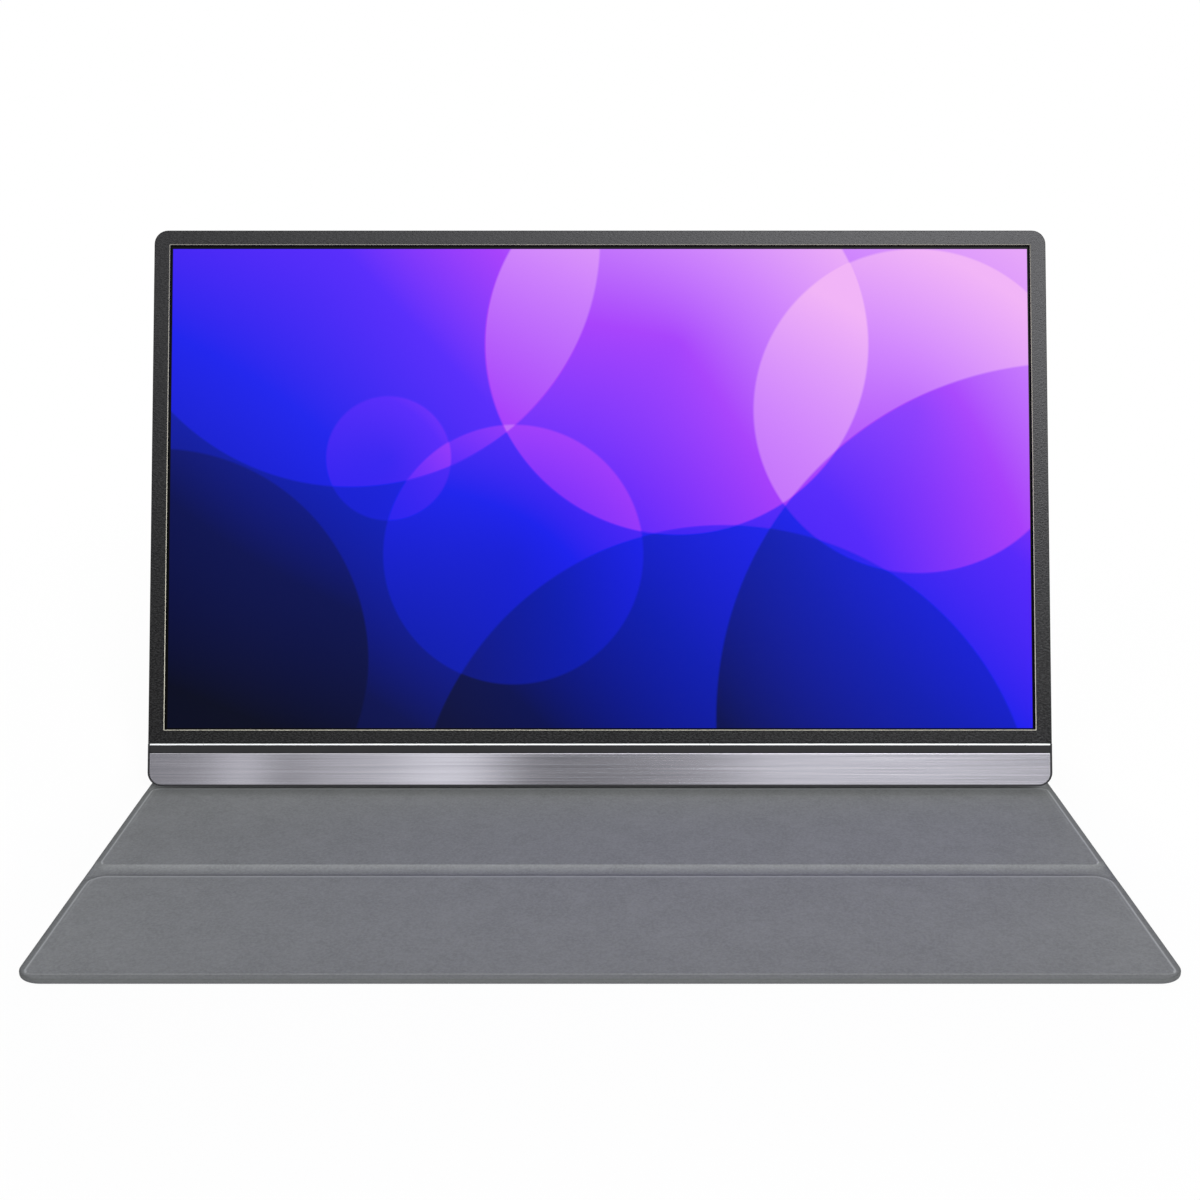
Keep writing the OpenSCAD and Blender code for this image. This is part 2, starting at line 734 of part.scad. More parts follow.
// Small switch whose plunger waits behind the power button
module power_switch() {
    color([0.15, 0.15, 0.16]) in_monitor() {
        x0 = stem_x + button_travel + plunger_gap;
        block([x0 + 0.5, button_s - 3, small_board_top], [x0 + 4, button_s + 3, button_z + 1]);
        bar_x(x0, x0 + 1, button_s, button_z, 0.9);
    }
}

// Fixed housing of the dial's lever: two walls and a back stop
module wheel_encoder() {
    color([0.12, 0.12, 0.13]) in_monitor() {
        x1 = arm_x + block_w + wheel_travel + 0.1;
        z1 = small_board_top + encoder_h;
        for (e = [-1, 1])
            block(
                [arm_x + 0.3, wheel_s + e * 3.55 - encoder_wall / 2, small_board_top],
                [x1 + encoder_wall, wheel_s + e * 3.55 + encoder_wall / 2, z1]
            );
        block([x1, wheel_s - 4, small_board_top], [x1 + encoder_wall, wheel_s + 4, z1]);
    }
}

// Flat ribbon along the back wall between the two side boards
ribbon_rise = 48;
ribbon_w = 8;
ribbon_reach = 5;
module button_ribbon() {
    color([0.90, 0.90, 0.88]) in_monitor() {
        t = 0.15;
        s0 = board_s + ribbon_rise;
        s1 = s0 + ribbon_w;
        x0 = button_board_x1;
        x1 = scaler_x0;
        block([x0 - ribbon_reach, s0, small_board_top], [x0 + t, s1, small_board_top + t]);
        block([x0, s0, back_t], [x0 + t, s1, small_board_top + t]);
        block([x0, s0, back_t], [x1, s1, back_t + t]);
        block([x1 - t, s0, back_t], [x1, s1, scaler_top + t]);
        block([x1 - t, s0, scaler_top], [x1 + ribbon_reach, s1, scaler_top + t]);
    }
}

module speaker(e) {
    x = e * speaker_x;
    difference() {
        block(
            [x - speaker_l / 2, speaker_s, back_t],
            [x + speaker_l / 2, speaker_s + speaker_h, back_t + speaker_t]
        );
        block(
            [x - speaker_l / 2 + 1.5, speaker_s + 1, back_t - lap],
            [x + speaker_l / 2 - 1.5, speaker_s + speaker_h - 1, back_t + 0.6]
        );
    }
    translate([x, speaker_s + speaker_h / 2, back_t + 0.3]) cylinder(h = 0.5, r = 3);
}

module speaker_left() {
    color([0.10, 0.10, 0.11]) in_monitor() speaker(-1);
}

module speaker_right() {
    color([0.10, 0.10, 0.11]) in_monitor() speaker(1);
}

// Wires from the speakers to the scaler board's edge
module speaker_wires() {
    color([0.60, 0.10, 0.10]) in_monitor() {
        z = scaler_z + pcb_t / 2;
        for (i = [0, 1]) {
            x = scaler_x0 - 1.3 - 0.9 * i;
            s = 8.2 + 0.9 * i;
            up = board_s + 6 + 0.9 * i;
            bar_x(-speaker_x + speaker_l / 2, x, s, z, wire_r);
            translate([x, s, z]) sphere(wire_r);
            translate([x, s, z]) rotate([-90, 0, 0]) cylinder(h = up - s, r = wire_r);
            translate([x, up, z]) sphere(wire_r);
            bar_x(x, scaler_x0, up, z, wire_r);
            translate([speaker_x - 13 + 0.9 * i, speaker_s + speaker_h, z]) rotate([-90, 0, 0])
                cylinder(h = board_s - speaker_s - speaker_h, r = wire_r);
        }
    }
}

// Magnets glued inside the back wall, and their partners in the cover
function magnet_height(k) = fold_height + fold_gap + 8 + k * (panel_len - fold_gap - pad_inset - 16);
module housing_magnets() {
    color([0.70, 0.70, 0.72]) in_monitor()
        for (x = magnet_xs) for (k = magnet_rows)
            translate([x, magnet_height(k), back_t]) cylinder(h = magnet_t, r = magnet_r);
}

module cover_magnet_places(r, z0, z1) {
    for (x = magnet_xs) for (k = magnet_rows)
        translate([x, magnet_height(k) - fold_height, z0]) cylinder(h = z1 - z0, r = r);
}

// Bar magnets in the top edge that hold the closed flap
module closure_magnets() {
    color([0.70, 0.70, 0.72]) in_monitor()
        for (x = bar_xs)
            block(
                [x - bar_l / 2, ring_s1 + 0.05 + tray_t + 0.1, back_t],
                [x + bar_l / 2, monitor_h - wall_t - 0.05, shoulder_z - 0.3]
            );
}

module board_screws() {
    color([0.80, 0.80, 0.80]) in_monitor()
        for (p = scaler_posts) translate([p[0], p[1], scaler_top]) {
            cylinder(h = 0.6, r = 1.5);
            translate([0, 0, -pcb_t - standoff_h + 0.1])
                cylinder(h = pcb_t + standoff_h, r = screw_r - 0.05);
        }
}

module light_pipe() {
    color([0.90, 0.93, 0.95, 0.6]) in_monitor() bar_x(-side, -side + 4, led_s, led_z, led_r);
}

// Moving controls
module power_button() {
    color([0.30, 0.30, 0.31]) in_monitor() {
        x = -side + wall_t + 0.05;
        block(
            [-side - button_out, button_s - button_l / 2, button_z - button_h / 2],
            [x + 0.3, button_s + button_l / 2, button_z + button_h / 2]
        );
        block(
            [x, button_s - button_l / 2 - 0.8, button_z - button_h / 2 - 0.25],
            [x + flange_t, button_s + button_l / 2 + 0.8, button_z + button_h / 2 + 0.25]
        );
        block([x, button_s - 1.5, button_z - 0.7], [stem_x, button_s + 1.5, button_z + 0.7]);
    }
}

// Lever that carries the dial on its pin and slides when the dial is pushed
module wheel_carrier() {
    color([0.60, 0.60, 0.62]) in_monitor() {
        block([wheel_x - 2, wheel_s - 2.5, slab_z], [arm_x + block_w, wheel_s + 2.5, slab_z + slab_t]);
        block([arm_x, wheel_s - 3, slab_z], [arm_x + block_w, wheel_s + 3, small_board_top + encoder_h - 0.2]);
        translate([wheel_x, wheel_s, slab_z]) cylinder(h = wheel_z + wheel_t - slab_z + 0.1, r = wheel_pin_r);
    }
}

module scroll_wheel() {
    color([0.14, 0.14, 0.15]) in_monitor() translate([wheel_x, wheel_s, wheel_z]) difference() {
        cylinder(h = wheel_t, r = wheel_r);
        translate([0, 0, -lap]) cylinder(h = wheel_t + 2 * lap, r = wheel_pin_r + pin_clear);
        for (i = [0 : notch_count - 1])
            rotate([0, 0, i * 360 / notch_count]) translate([wheel_r + 0.05, 0, -lap])
                cylinder(h = wheel_t + 2 * lap, r = 0.3, $fn = 16);
    }
}

// Cover: base with the rear strip, the spine and the first groove
rear_p0 = half_groove;
rear_p1 = rear_strip - fold_gap + 1;
spine_p0 = rear_strip + fold_gap - 1;
spine_p1 = spine_y - fold_gap;
module base_skin() {
    color([0.42, 0.43, 0.45]) {
        panel_skin(-half_groove, spine_y, 0, 0);
        along_x(case_w) translate([spine_y, web_t]) intersection() {
            circle(web_t);
            polygon([[0, 0], [0, -2 * web_t], [2 * web_t, -2 * web_t], [2 * web_t, -0.1]]);
        }
    }
}

module base_lining() {
    color([0.46, 0.47, 0.49]) difference() {
        union() {
            plate(case_w, -half_groove, spine_y, 0, 0, skin_t, web_t);
            plate(case_w - 2 * pad_inset, rear_p0, rear_p1, pad_r, pad_r, skin_t, pad_z);
            plate(case_w - 2 * pad_inset, spine_p0, spine_p1, pad_r - 1, pad_r - 1, skin_t, pad_z);
        }
        panel_board(rear_p0, rear_p1);
        spine_board_shape();
    }
}

module rear_strip_board() {
    color([0.70, 0.62, 0.50]) panel_board(rear_p0, rear_p1);
}

module spine_board_shape() {
    w = case_w - 2 * (pad_inset + lining_t);
    r = pad_r - 1 - lining_t;
    plate(w, spine_p0 + lining_t, spine_p1 - lining_t, r, r, skin_t, skin_t + board_t);
}

module spine_board() {
    color([0.70, 0.62, 0.50]) spine_board_shape();
}

// Cover: leg panel behind the monitor's lower half
module leg_skin() {
    color([0.42, 0.43, 0.45]) in_leg() difference() {
        panel_skin(0, leg_len, 0, 0);
        fold_cut(leg_len, 1);
    }
}

module leg_lining() {
    color([0.46, 0.47, 0.49]) in_leg() difference() {
        panel_lining(0, leg_len, 0, 0, fold_gap, leg_len - fold_gap);
        fold_cut(leg_len, 1);
    }
}

module leg_board() {
    color([0.70, 0.62, 0.50]) in_leg() panel_board(fold_gap, leg_len - fold_gap);
}

// Cover: upper back panel that holds the monitor by magnets
module back_panel_skin() {
    color([0.42, 0.43, 0.45]) in_back_panel() difference() {
        panel_skin(0, panel_len, 0, cover_r);
        fold_cut(0, -1);
    }
}

module back_panel_lining() {
    color([0.46, 0.47, 0.49]) in_back_panel() difference() {
        panel_lining(0, panel_len, 0, cover_r, fold_gap, panel_len - pad_inset);
        fold_cut(0, -1);
    }
}

module back_panel_board() {
    color([0.70, 0.62, 0.50]) in_back_panel() difference() {
        panel_board(fold_gap, panel_len - pad_inset);
        cover_magnet_places(magnet_r + 0.1, 0, pad_z + lap);
    }
}

module cover_magnets() {
    color([0.70, 0.70, 0.72]) in_back_panel() cover_magnet_places(magnet_r, skin_t, skin_t + board_t);
}

// Cover: the two strips that lie on the table in front of the monitor
mid_y0 = -middle_strip;
mid_y1 = -half_groove;
front_y0 = -middle_strip - front_strip;
module middle_flap_skin() {
    color([0.42, 0.43, 0.45]) panel_skin(mid_y0, mid_y1, 0, 0);
}

module middle_flap_lining() {
    color([0.46, 0.47, 0.49]) panel_lining(mid_y0, mid_y1, 0, 0, mid_y0 + half_groove, mid_y1);
}

module middle_flap_board() {
    color([0.70, 0.62, 0.50]) panel_board(mid_y0 + half_groove, mid_y1);
}

module front_flap_skin() {
    color([0.42, 0.43, 0.45]) panel_skin(front_y0, mid_y0, cover_r, 0);
}

module front_flap_lining() {
    color([0.46, 0.47, 0.49])
        panel_lining(front_y0, mid_y0, cover_r, 0, front_y0 + pad_inset, mid_y0 - half_groove);
}

// Bar magnets let into the front edge of the last board
flap_magnet_w = 3;
module flap_magnet_places(clear, z0, z1) {
    y = front_y0 + pad_inset + lining_t + 1.2;
    for (x = bar_xs)
        block([x - bar_l / 2 - clear, y - clear, z0], [x + bar_l / 2 + clear, y + flap_magnet_w + clear, z1]);
}

module front_flap_board() {
    color([0.70, 0.62, 0.50]) difference() {
        panel_board(front_y0 + pad_inset, mid_y0 - half_groove);
        flap_magnet_places(0.1, 0, pad_z + lap);
    }
}

module flap_magnets() {
    color([0.70, 0.70, 0.72]) flap_magnet_places(0, skin_t, skin_t + board_t);
}

rear_housing();
front_bezel();
chin_plate();
trim_strip();
accent_strip();
chin_carrier();
lcd_cell();
screen_gasket();
prism_films();
light_guide();
reflector_sheet();
led_bar();
backlight_frame();
panel_tray();
panel_driver_board();
driver_films();
display_cable();
scaler_board();
board_chips();
shield_can();
usb_c_port_lower();
usb_c_port_upper();
mini_hdmi_port();
audio_jack();
audio_board();
button_board();
power_switch();
wheel_encoder();
button_ribbon();
speaker_left();
speaker_right();
speaker_wires();
housing_magnets();
closure_magnets();
board_screws();
light_pipe();
power_button();
wheel_carrier();
scroll_wheel();
base_skin();
base_lining();
rear_strip_board();
spine_board();
leg_skin();
leg_lining();
leg_board();
back_panel_skin();
back_panel_lining();
back_panel_board();
cover_magnets();
middle_flap_skin();
middle_flap_lining();
middle_flap_board();
front_flap_skin();
front_flap_lining();
front_flap_board();
flap_magnets();
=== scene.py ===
"""Looks of a slim portable monitor that stands in its folding grey leather cover.

The cover is one long sheet of outer leather and one of lining. Both are made here as a single
surface of two numbers: x across the cover, and t along it, from the front edge over the two
flaps, the base and the spine, up the leg, and up the back panel. The monitor's face is made of
outlines with round corners, which step in and out as they rise. Every length is in millimetres
until it becomes a point, which is in metres.
"""
import json
import math

import bmesh
import bpy
import numpy as np
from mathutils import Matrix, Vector


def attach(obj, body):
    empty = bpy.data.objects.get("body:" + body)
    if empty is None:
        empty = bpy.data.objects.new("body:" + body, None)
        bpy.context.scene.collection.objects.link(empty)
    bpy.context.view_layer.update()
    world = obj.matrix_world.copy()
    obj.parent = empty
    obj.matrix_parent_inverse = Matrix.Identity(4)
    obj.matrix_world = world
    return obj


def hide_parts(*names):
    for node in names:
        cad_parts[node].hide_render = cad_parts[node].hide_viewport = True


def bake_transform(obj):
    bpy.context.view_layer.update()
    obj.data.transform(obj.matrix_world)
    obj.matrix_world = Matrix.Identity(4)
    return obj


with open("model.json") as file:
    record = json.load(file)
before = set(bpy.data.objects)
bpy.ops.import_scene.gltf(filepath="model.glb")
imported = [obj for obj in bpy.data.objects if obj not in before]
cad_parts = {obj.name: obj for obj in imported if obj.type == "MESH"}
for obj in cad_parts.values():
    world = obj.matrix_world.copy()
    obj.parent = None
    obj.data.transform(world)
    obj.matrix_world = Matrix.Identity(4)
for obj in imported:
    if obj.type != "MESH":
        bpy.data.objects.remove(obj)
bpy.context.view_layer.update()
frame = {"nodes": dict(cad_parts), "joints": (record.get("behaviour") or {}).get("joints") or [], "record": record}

MM = 0.001
joints = {j["name"]: j for j in frame["joints"]}

# Sizes of the cover, in millimetres along its flat sheet, as the CAD has them
CASE_HALF = 181.3
PAD_HALF = 178.5
PAD_EDGE = 2.8
COVER_R = 9.0
WEB = 1.1
OUTER = 0.6
PAD_RISE = 1.0
SKIN = 0.5
FRONT_END = -153.5
FLAP_FOLD = -78.5
FOOT_FOLD = -4.5
GROOVES = ((-78.5, 4.5), (0.0, 4.5))
STRIP_FOLD = 70.27
SPINE = 81.27
LEG = 128.4
BACK = 96.32
TOP_FOLD = SPINE + LEG
TOP_END = TOP_FOLD + BACK

# Pads along the sheet: start, stop, and the corner radii at those two ends
PADS = (
    (FRONT_END + PAD_EDGE, -83.0, 3.0, 6.0),
    (-74.0, -4.5, 3.0, 3.0),
    (4.5, STRIP_FOLD - 1.5, 3.0, 3.0),
    (STRIP_FOLD + 1.5, SPINE - 2.5, 2.0, 2.0),
    (SPINE + 2.5, TOP_FOLD - 2.5, 3.0, 3.0),
    (TOP_FOLD + 2.5, TOP_END - PAD_EDGE, 3.0, 3.0),
)

# Half widths of the narrow folds, and how the leather runs from a pad and ends at the rim
FOLDS = ((STRIP_FOLD, 1.5), (SPINE, 2.5), (TOP_FOLD, 2.5))
FOLD_RUN = 1.2
SCOOP_POWER = 2.3
BORDER_STEP, BORDER_FALL = 0.12, 0.45
GROOVE_END = 0.38
LINING_ROUND = 0.5
OUTER_ROUND = 0.45

# Painted highlight along a pad's crest, at the cover's sides and at the pad's far end: tone and width
SIDE_HIGHLIGHT, SIDE_WIDTH = 1.6, 0.35
FAR_HIGHLIGHT, FAR_WIDTH = 1.1, 0.75

# How dark the leather is painted: painted shade in the border's step and slope, the darker edge
# colour at the rim, painted shade on the groove's near slope, and painted shade inwards from the
# rim, where it fades out over a length
STEP_SHADE, SLOPE_SHADE, RIM_SHADE, GROOVE_SHADE = 0.28, 0.27, 0.85, 0.38
EDGE_SHADE, EDGE_LENGTH = 0.13, 14

# Places of the folds and the directions of the panels, as (y, z) pairs
fold_q = np.array(joints["rear_fold"]["pos_m"][1:]) / MM
fold_m = np.array(joints["tilt_fold"]["pos_m"][1:]) / MM
face_out = np.array(joints["monitor_lift_off"]["axis"][1:])
face_up = np.array([face_out[1], -face_out[0]])
leg_up = (fold_m - fold_q) / np.linalg.norm(fold_m - fold_q)
leg_in = np.array([-leg_up[1], leg_up[0]])
tilt = math.atan2(face_up[1], face_up[0])

# Monitor, in millimetres across (x), up its face (s) and forward from its back (d)
FOLD_HEIGHT = 127.25
AXIS_GAP = 1.05
SIDE = 179.3
HEIGHT = 222.77
CORNER = 5.5
SHARP = 0.02
SCREEN_HALF = 172.1
SCREEN_LOW = 22.9
SCREEN_HIGH = 215.55
foot = fold_m - FOLD_HEIGHT * face_up + AXIS_GAP * face_out


def on_monitor(x, s, d):
    """Points of the monitor in metres: across, up the face and out of the back, from its foot."""
    x, s, d = np.broadcast_arrays(x, s, d)
    y = foot[0] + s * face_up[0] + d * face_out[0]
    z = foot[1] + s * face_up[1] + d * face_out[1]
    return np.stack([x, y, z], axis=-1) * MM


# ---------------------------------------------------------------- meshes

def place_mesh(name, mesh):
    """An object at the origin for a mesh whose place is in its points."""
    thing = bpy.data.objects.new(name, mesh)
    bpy.context.scene.collection.objects.link(thing)
    return thing


def shade_smooth(mesh, angle):
    """Smooth shading that breaks at edges sharper than an angle in degrees."""
    mesh.polygons.foreach_set("use_smooth", np.ones(len(mesh.polygons), bool))
    mesh.set_sharp_from_angle(angle=math.radians(angle))
    mesh.update()


def make_piece(name, points, faces, angle):
    """A mesh object from an array of points in metres and a list of faces."""
    mesh = bpy.data.meshes.new(name)
    mesh.from_pydata(points.reshape(-1, 3).tolist(), [], faces)
    shade_smooth(mesh, angle)
    return place_mesh(name, mesh)


def mark(piece, key, values):
    """A named number at each point, which the piece's material reads."""
    layer = piece.data.attributes.new(key, "FLOAT", "POINT")
    layer.data.foreach_set("value", values.ravel().astype(np.float32))


def two_sided(rows, columns):
    """Quads of a closed form: an upper grid, a lower grid, and walls round their shared border."""
    index = np.arange(rows * columns).reshape(rows, columns)
    low = index + rows * columns

    def quads(a, b, c, d):
        return np.stack([a.ravel(), b.ravel(), c.ravel(), d.ravel()], axis=1)

    return np.concatenate([
        quads(index[:-1, :-1], index[:-1, 1:], index[1:, 1:], index[1:, :-1]),
        quads(low[:-1, :-1], low[1:, :-1], low[1:, 1:], low[:-1, 1:]),
        quads(low[0, :-1], low[0, 1:], index[0, 1:], index[0, :-1]),
        quads(low[-1, 1:], low[-1, :-1], index[-1, :-1], index[-1, 1:]),
        quads(low[1:, 0], low[:-1, 0], index[:-1, 0], index[1:, 0]),
        quads(low[:-1, -1], low[1:, -1], index[1:, -1], index[:-1, -1]),
    ])


def rings(loops, points):
    """Quads of a closed tube of loops: each loop joins the next one, and the last the first."""
    index = np.arange(loops * points).reshape(loops, points)
    after = np.roll(index, -1, axis=0)
    return np.stack([
        index.ravel(), np.roll(index, -1, axis=1).ravel(),
        np.roll(after, -1, axis=1).ravel(), after.ravel(),
    ], axis=1)


def lines(*spans):
    """Grid lines from spans of (start, stop, count), sorted, with doubles taken out."""
    parts = [np.linspace(a, b, n) for a, b, n in spans]
    return np.unique(np.round(np.concatenate(parts), 4))


def box_depth(x, t, half, low, high, radius):
    """How deep a point lies inside a rectangle with rounded corners; negative outside."""
    qx = np.abs(x) - (half - radius)
    qt = np.abs(t - (low + high) / 2) - ((high - low) / 2 - radius)
    outside = np.hypot(np.maximum(qx, 0), np.maximum(qt, 0))
    return radius - outside - np.minimum(np.maximum(qx, qt), 0)


# ---------------------------------------------------------------- cover

def station(t):
    """The cover's line at its web's inner face, and its inward direction, at each place along it.

    The line is straight on the base, leg and back panel. At the spine and at the fold behind the
    monitor it runs on an arc that touches both straight lines a little before and after the fold.
    """
    flat = np.array([1.0, 0.0])
    up = np.array([0.0, 1.0])
    t = np.asarray(t, float)[..., None]
    line = np.where(t < SPINE, fold_q + (t - SPINE) * flat, fold_q + (t - SPINE) * leg_up)
    line = np.where(t > TOP_FOLD, fold_m + (t - TOP_FOLD) * face_up, line)
    inward = np.where(t < SPINE, up, leg_in)
    inward = np.where(t > TOP_FOLD, face_out, inward)
    for place, corner, reach, along, before, after in (
        (SPINE, fold_q, 1.6, flat, up, leg_in),
        (TOP_FOLD, fold_m, 2.0, leg_up, leg_in, face_out),
    ):
        turn = math.atan2(-after @ along, after @ before)
        radius = reach / math.tan(abs(turn) / 2)
        sense = math.copysign(1, turn)
        middle = corner - reach * along + sense * radius * before
        angle = turn * (t - place + reach) / (2 * reach)
        facing = -np.sin(angle) * along + np.cos(angle) * before
        near = np.abs(t - place) < reach
        line = np.where(near, middle - sense * radius * facing, line)
        inward = np.where(near, facing, inward)
    return line, inward


def on_cover(x, t, height):
    """Points of the cover in metres: across, along the sheet, and above its outer face."""
    line, inward = station(t)
    yz = line + (height[..., None] - WEB) * inward
    return np.concatenate([x[..., None], yz], axis=-1) * MM


def outline_half(t):
    """Half the cover's width, drawn in by the round corners at its two ends."""
    left = np.clip(COVER_R - np.minimum(t - FRONT_END, TOP_END - t), 0, COVER_R)
    return CASE_HALF - (COVER_R - np.sqrt(COVER_R ** 2 - left ** 2))


def cover_grid(low, high):
    """Places across and along for one stretch of the cover, close together where its form bends."""
    border = lines(
        (0, 0.5, 7), (0.5, 2.4, 7), (2.4, 3.3, 10), (3.3, 10, 20), (10, 30, 6), (30, 100, 6),
    )
    rows = [np.linspace(low, high, max(6, int((high - low) / 4)))]
    for end, sense in ((FRONT_END, 1), (TOP_END, -1)):
        rows.append(end + sense * lines((0, 0.5, 7), (0.5, 2.4, 7), (2.4, 7.5, 26)))
    for groove, half in GROOVES:
        rows.append(groove + np.linspace(-2 * half, 2 * half, 101))
    for fold, _ in FOLDS:
        rows.append(fold + np.linspace(-6.6, 6.6, 67))
    t = np.unique(np.round(np.concatenate(rows), 3))
    t = np.concatenate([[low], t[(t > low + 0.02) & (t < high - 0.02)], [high]])
    half = outline_half(t)[:, None]
    centre = np.linspace(-1, 1, 25)[1:-1] * (half - border[-1])
    x = np.concatenate([-(half - border), centre, (half - border)[:, ::-1]], axis=1)
    return x, np.broadcast_to(t[:, None], x.shape)


def rim_depth(x, t):
    """How far a point lies inside the cover's outline."""
    return box_depth(x, t, CASE_HALF, FRONT_END, TOP_END, COVER_R)


def lining_form(x, t):
    """Height of the lining, the strength of the painted highlight along the pads' crests, and how dark the leather
    is painted.

    A pad is a flat table with round corners. In a groove or a fold the leather falls beside it as
    a power of what is left of its run, (1 - away / run)^2.3, so that two runs that meet form a
    round scoop. The soft border steps down a little beside the pad, then falls with the square of the
    distance, and ends in a quarter round. Close to the rim a groove rises to the border. The
    third result is how dark the leather is painted: painted shade in the soft border, on the front
    groove's near slope and fading in from the rim, and the darker edge colour at the rim.
    """
    away = np.full(x.shape, 99.0)
    tone = np.zeros(x.shape)
    wide = np.ones(x.shape)
    for low, high, r_low, r_high in PADS:
        middle = (low + high) / 2
        radius = np.where(t < middle, r_low, r_high)
        beside = -box_depth(x, t, PAD_HALF, low, high, radius)
        # Painted highlight: strongest at the cover's sides, weaker at the pad's far end, none at its near end
        end = np.where(t > middle, FAR_HIGHLIGHT, 0.0)
        side = np.where(np.abs(x) > PAD_HALF - 1, SIDE_HIGHLIGHT, end)
        tone = np.where(beside < away, side, tone)
        wide = np.where(beside < away, np.where(side == FAR_HIGHLIGHT, FAR_WIDTH, SIDE_WIDTH), wide)
        away = np.minimum(away, beside)
    run = np.full(x.shape, PAD_EDGE)
    sunk = np.zeros(x.shape)
    for place, half in GROOVES:
        near = np.clip(1 - (np.abs(t - place) - half) / 3, 0, 1)
        run = run + (half - PAD_EDGE) * near
        sunk = np.maximum(sunk, near)
    for place, half in FOLDS:
        in_fold = np.abs(t - place) < half
        run = np.where(in_fold, FOLD_RUN, run)
        sunk = np.where(in_fold, 1.0, sunk)
    out = np.maximum(away, 0)
    scoop = np.clip(1 - out / run, 0, 1) ** SCOOP_POWER
    step = BORDER_STEP * np.clip(out / 0.4, 0, 1)
    soft = 1 - step - BORDER_FALL * np.clip(out / PAD_EDGE, 0, 1) ** 2
    table = sunk * scoop + (1 - sunk) * soft
    # Painted highlight along the pad's crest
    crest = tone * np.exp(-(((away + wide - SIDE_WIDTH) / wide) ** 2))
    rim = rim_depth(x, t)
    table = np.maximum(table, GROOVE_END * np.clip(1.9 - rim / 0.8, 0, 1))
    left = np.clip(LINING_ROUND - rim, 0, LINING_ROUND)
    fall = LINING_ROUND - np.sqrt(np.maximum(LINING_ROUND ** 2 - left ** 2, 0))
    # Painted shade in the soft border's step and slope beside the pad
    border = STEP_SHADE * np.clip(out / 0.5, 0, 1) + SLOPE_SHADE * np.clip(out / PAD_EDGE, 0, 1)
    border = border * (1 - sunk)
    border = np.maximum(border, RIM_SHADE * np.clip(1.3 - rim / 0.8, 0, 1))
    # Painted shade on the front groove's near slope, darkest at its near crest
    slope = GROOVES[0][1]
    near_slope = np.clip((FLAP_FOLD - t) / slope, 0, 1) * (t > FLAP_FOLD - slope)
    border = np.maximum(border, GROOVE_SHADE * near_slope ** 2)
    # Painted shade fading in from the rim
    border = np.maximum(border, EDGE_SHADE * np.exp(-rim / EDGE_LENGTH))
    return WEB - fall + PAD_RISE * table, crest, border


def outer_form(x, t):
    """Height of the outer leather's lower face: flat, with a quarter round up to its rim."""
    left = np.clip(OUTER_ROUND - rim_depth(x, t), 0, OUTER_ROUND)
    return OUTER_ROUND - np.sqrt(np.maximum(OUTER_ROUND ** 2 - left ** 2, 0))


def sheet_piece(name, x, t, over, under, **marks):
    """A closed sheet between two heights above one grid, with its marks on both faces."""
    points = np.stack([on_cover(x, t, over), on_cover(x, t, under)])
    piece = make_piece(name, points, two_sided(*x.shape).tolist(), 50)
    for key, values in marks.items():
        mark(piece, key, np.tile(values.ravel(), 2))
    return piece


def lining_piece(name, low, high):
    """Lining of one stretch: a skin's thickness over the boards, and solid down to the leather
    near the rim."""
    x, t = cover_grid(low, high)
    height, crest, border = lining_form(x, t)
    inside = np.clip(box_depth(x, t, PAD_HALF, FRONT_END, TOP_END, COVER_R) - 1, 0, 1)
    under = OUTER + inside * np.maximum(height - SKIN - OUTER, 0)
    under = np.minimum(under, height - 0.08)
    return sheet_piece(name, x, t, height, under, crest=crest, border=border)


def outer_piece(name, low, high):
    """Outer leather of one stretch, between its rounded lower face and a flat upper one."""
    x, t = cover_grid(low, high)
    under = outer_form(x, t)
    over = np.maximum(OUTER, under + 0.05)
    edge = rim_depth(x, t) < 0.4
    return sheet_piece(name, x, t, over, under, border=0.8 * edge)


# ---------------------------------------------------------------- materials

class Graph:
    """A node tree, written as a chain of short calls."""

    def __init__(self, tree):
        self.tree = tree

    def node(self, kind, links=None, **settings):
        made = self.tree.nodes.new(kind)
        for key, value in settings.items():
            setattr(made, key, value)
        for key, value in (links or {}).items():
            self.put(made.inputs[key], value)
        return made

    def put(self, socket, value):
        if isinstance(value, bpy.types.NodeSocket):
            self.tree.links.new(value, socket)
        else:
            socket.default_value = value

    def math(self, operation, a, b=0.0, c=0.0):
        return self.node("ShaderNodeMath", {0: a, 1: b, 2: c}, operation=operation).outputs[0]

    def spread(self, value, low, high, to_low=0.0, to_high=1.0):
        made = self.node("ShaderNodeMapRange", {
            "Value": value, "From Min": low, "From Max": high, "To Min": to_low, "To Max": to_high,
        })
        return made.outputs["Result"]

    def mix(self, share, a, b):
        made = self.node("ShaderNodeMix", data_type="RGBA")
        for number, value in ((0, share), (6, a), (7, b)):
            self.put(made.inputs[number], value)
        return made.outputs[2]

    def mix_shaders(self, share, a, b):
        made = self.node("ShaderNodeMixShader", {0: share, 1: a.outputs[0], 2: b.outputs[0]})
        return made.outputs[0]

    def ramp(self, value, stops):
        """Colours between stops of (place from 0 to 1, colour), in rising order."""
        made = self.node("ShaderNodeValToRGB", {"Fac": value})
        elements = made.color_ramp.elements
        for number, (place, colour) in enumerate(stops):
            stop = elements[number] if number < 2 else elements.new(place)
            stop.position = place
            stop.color = colour
        return made.outputs[0]


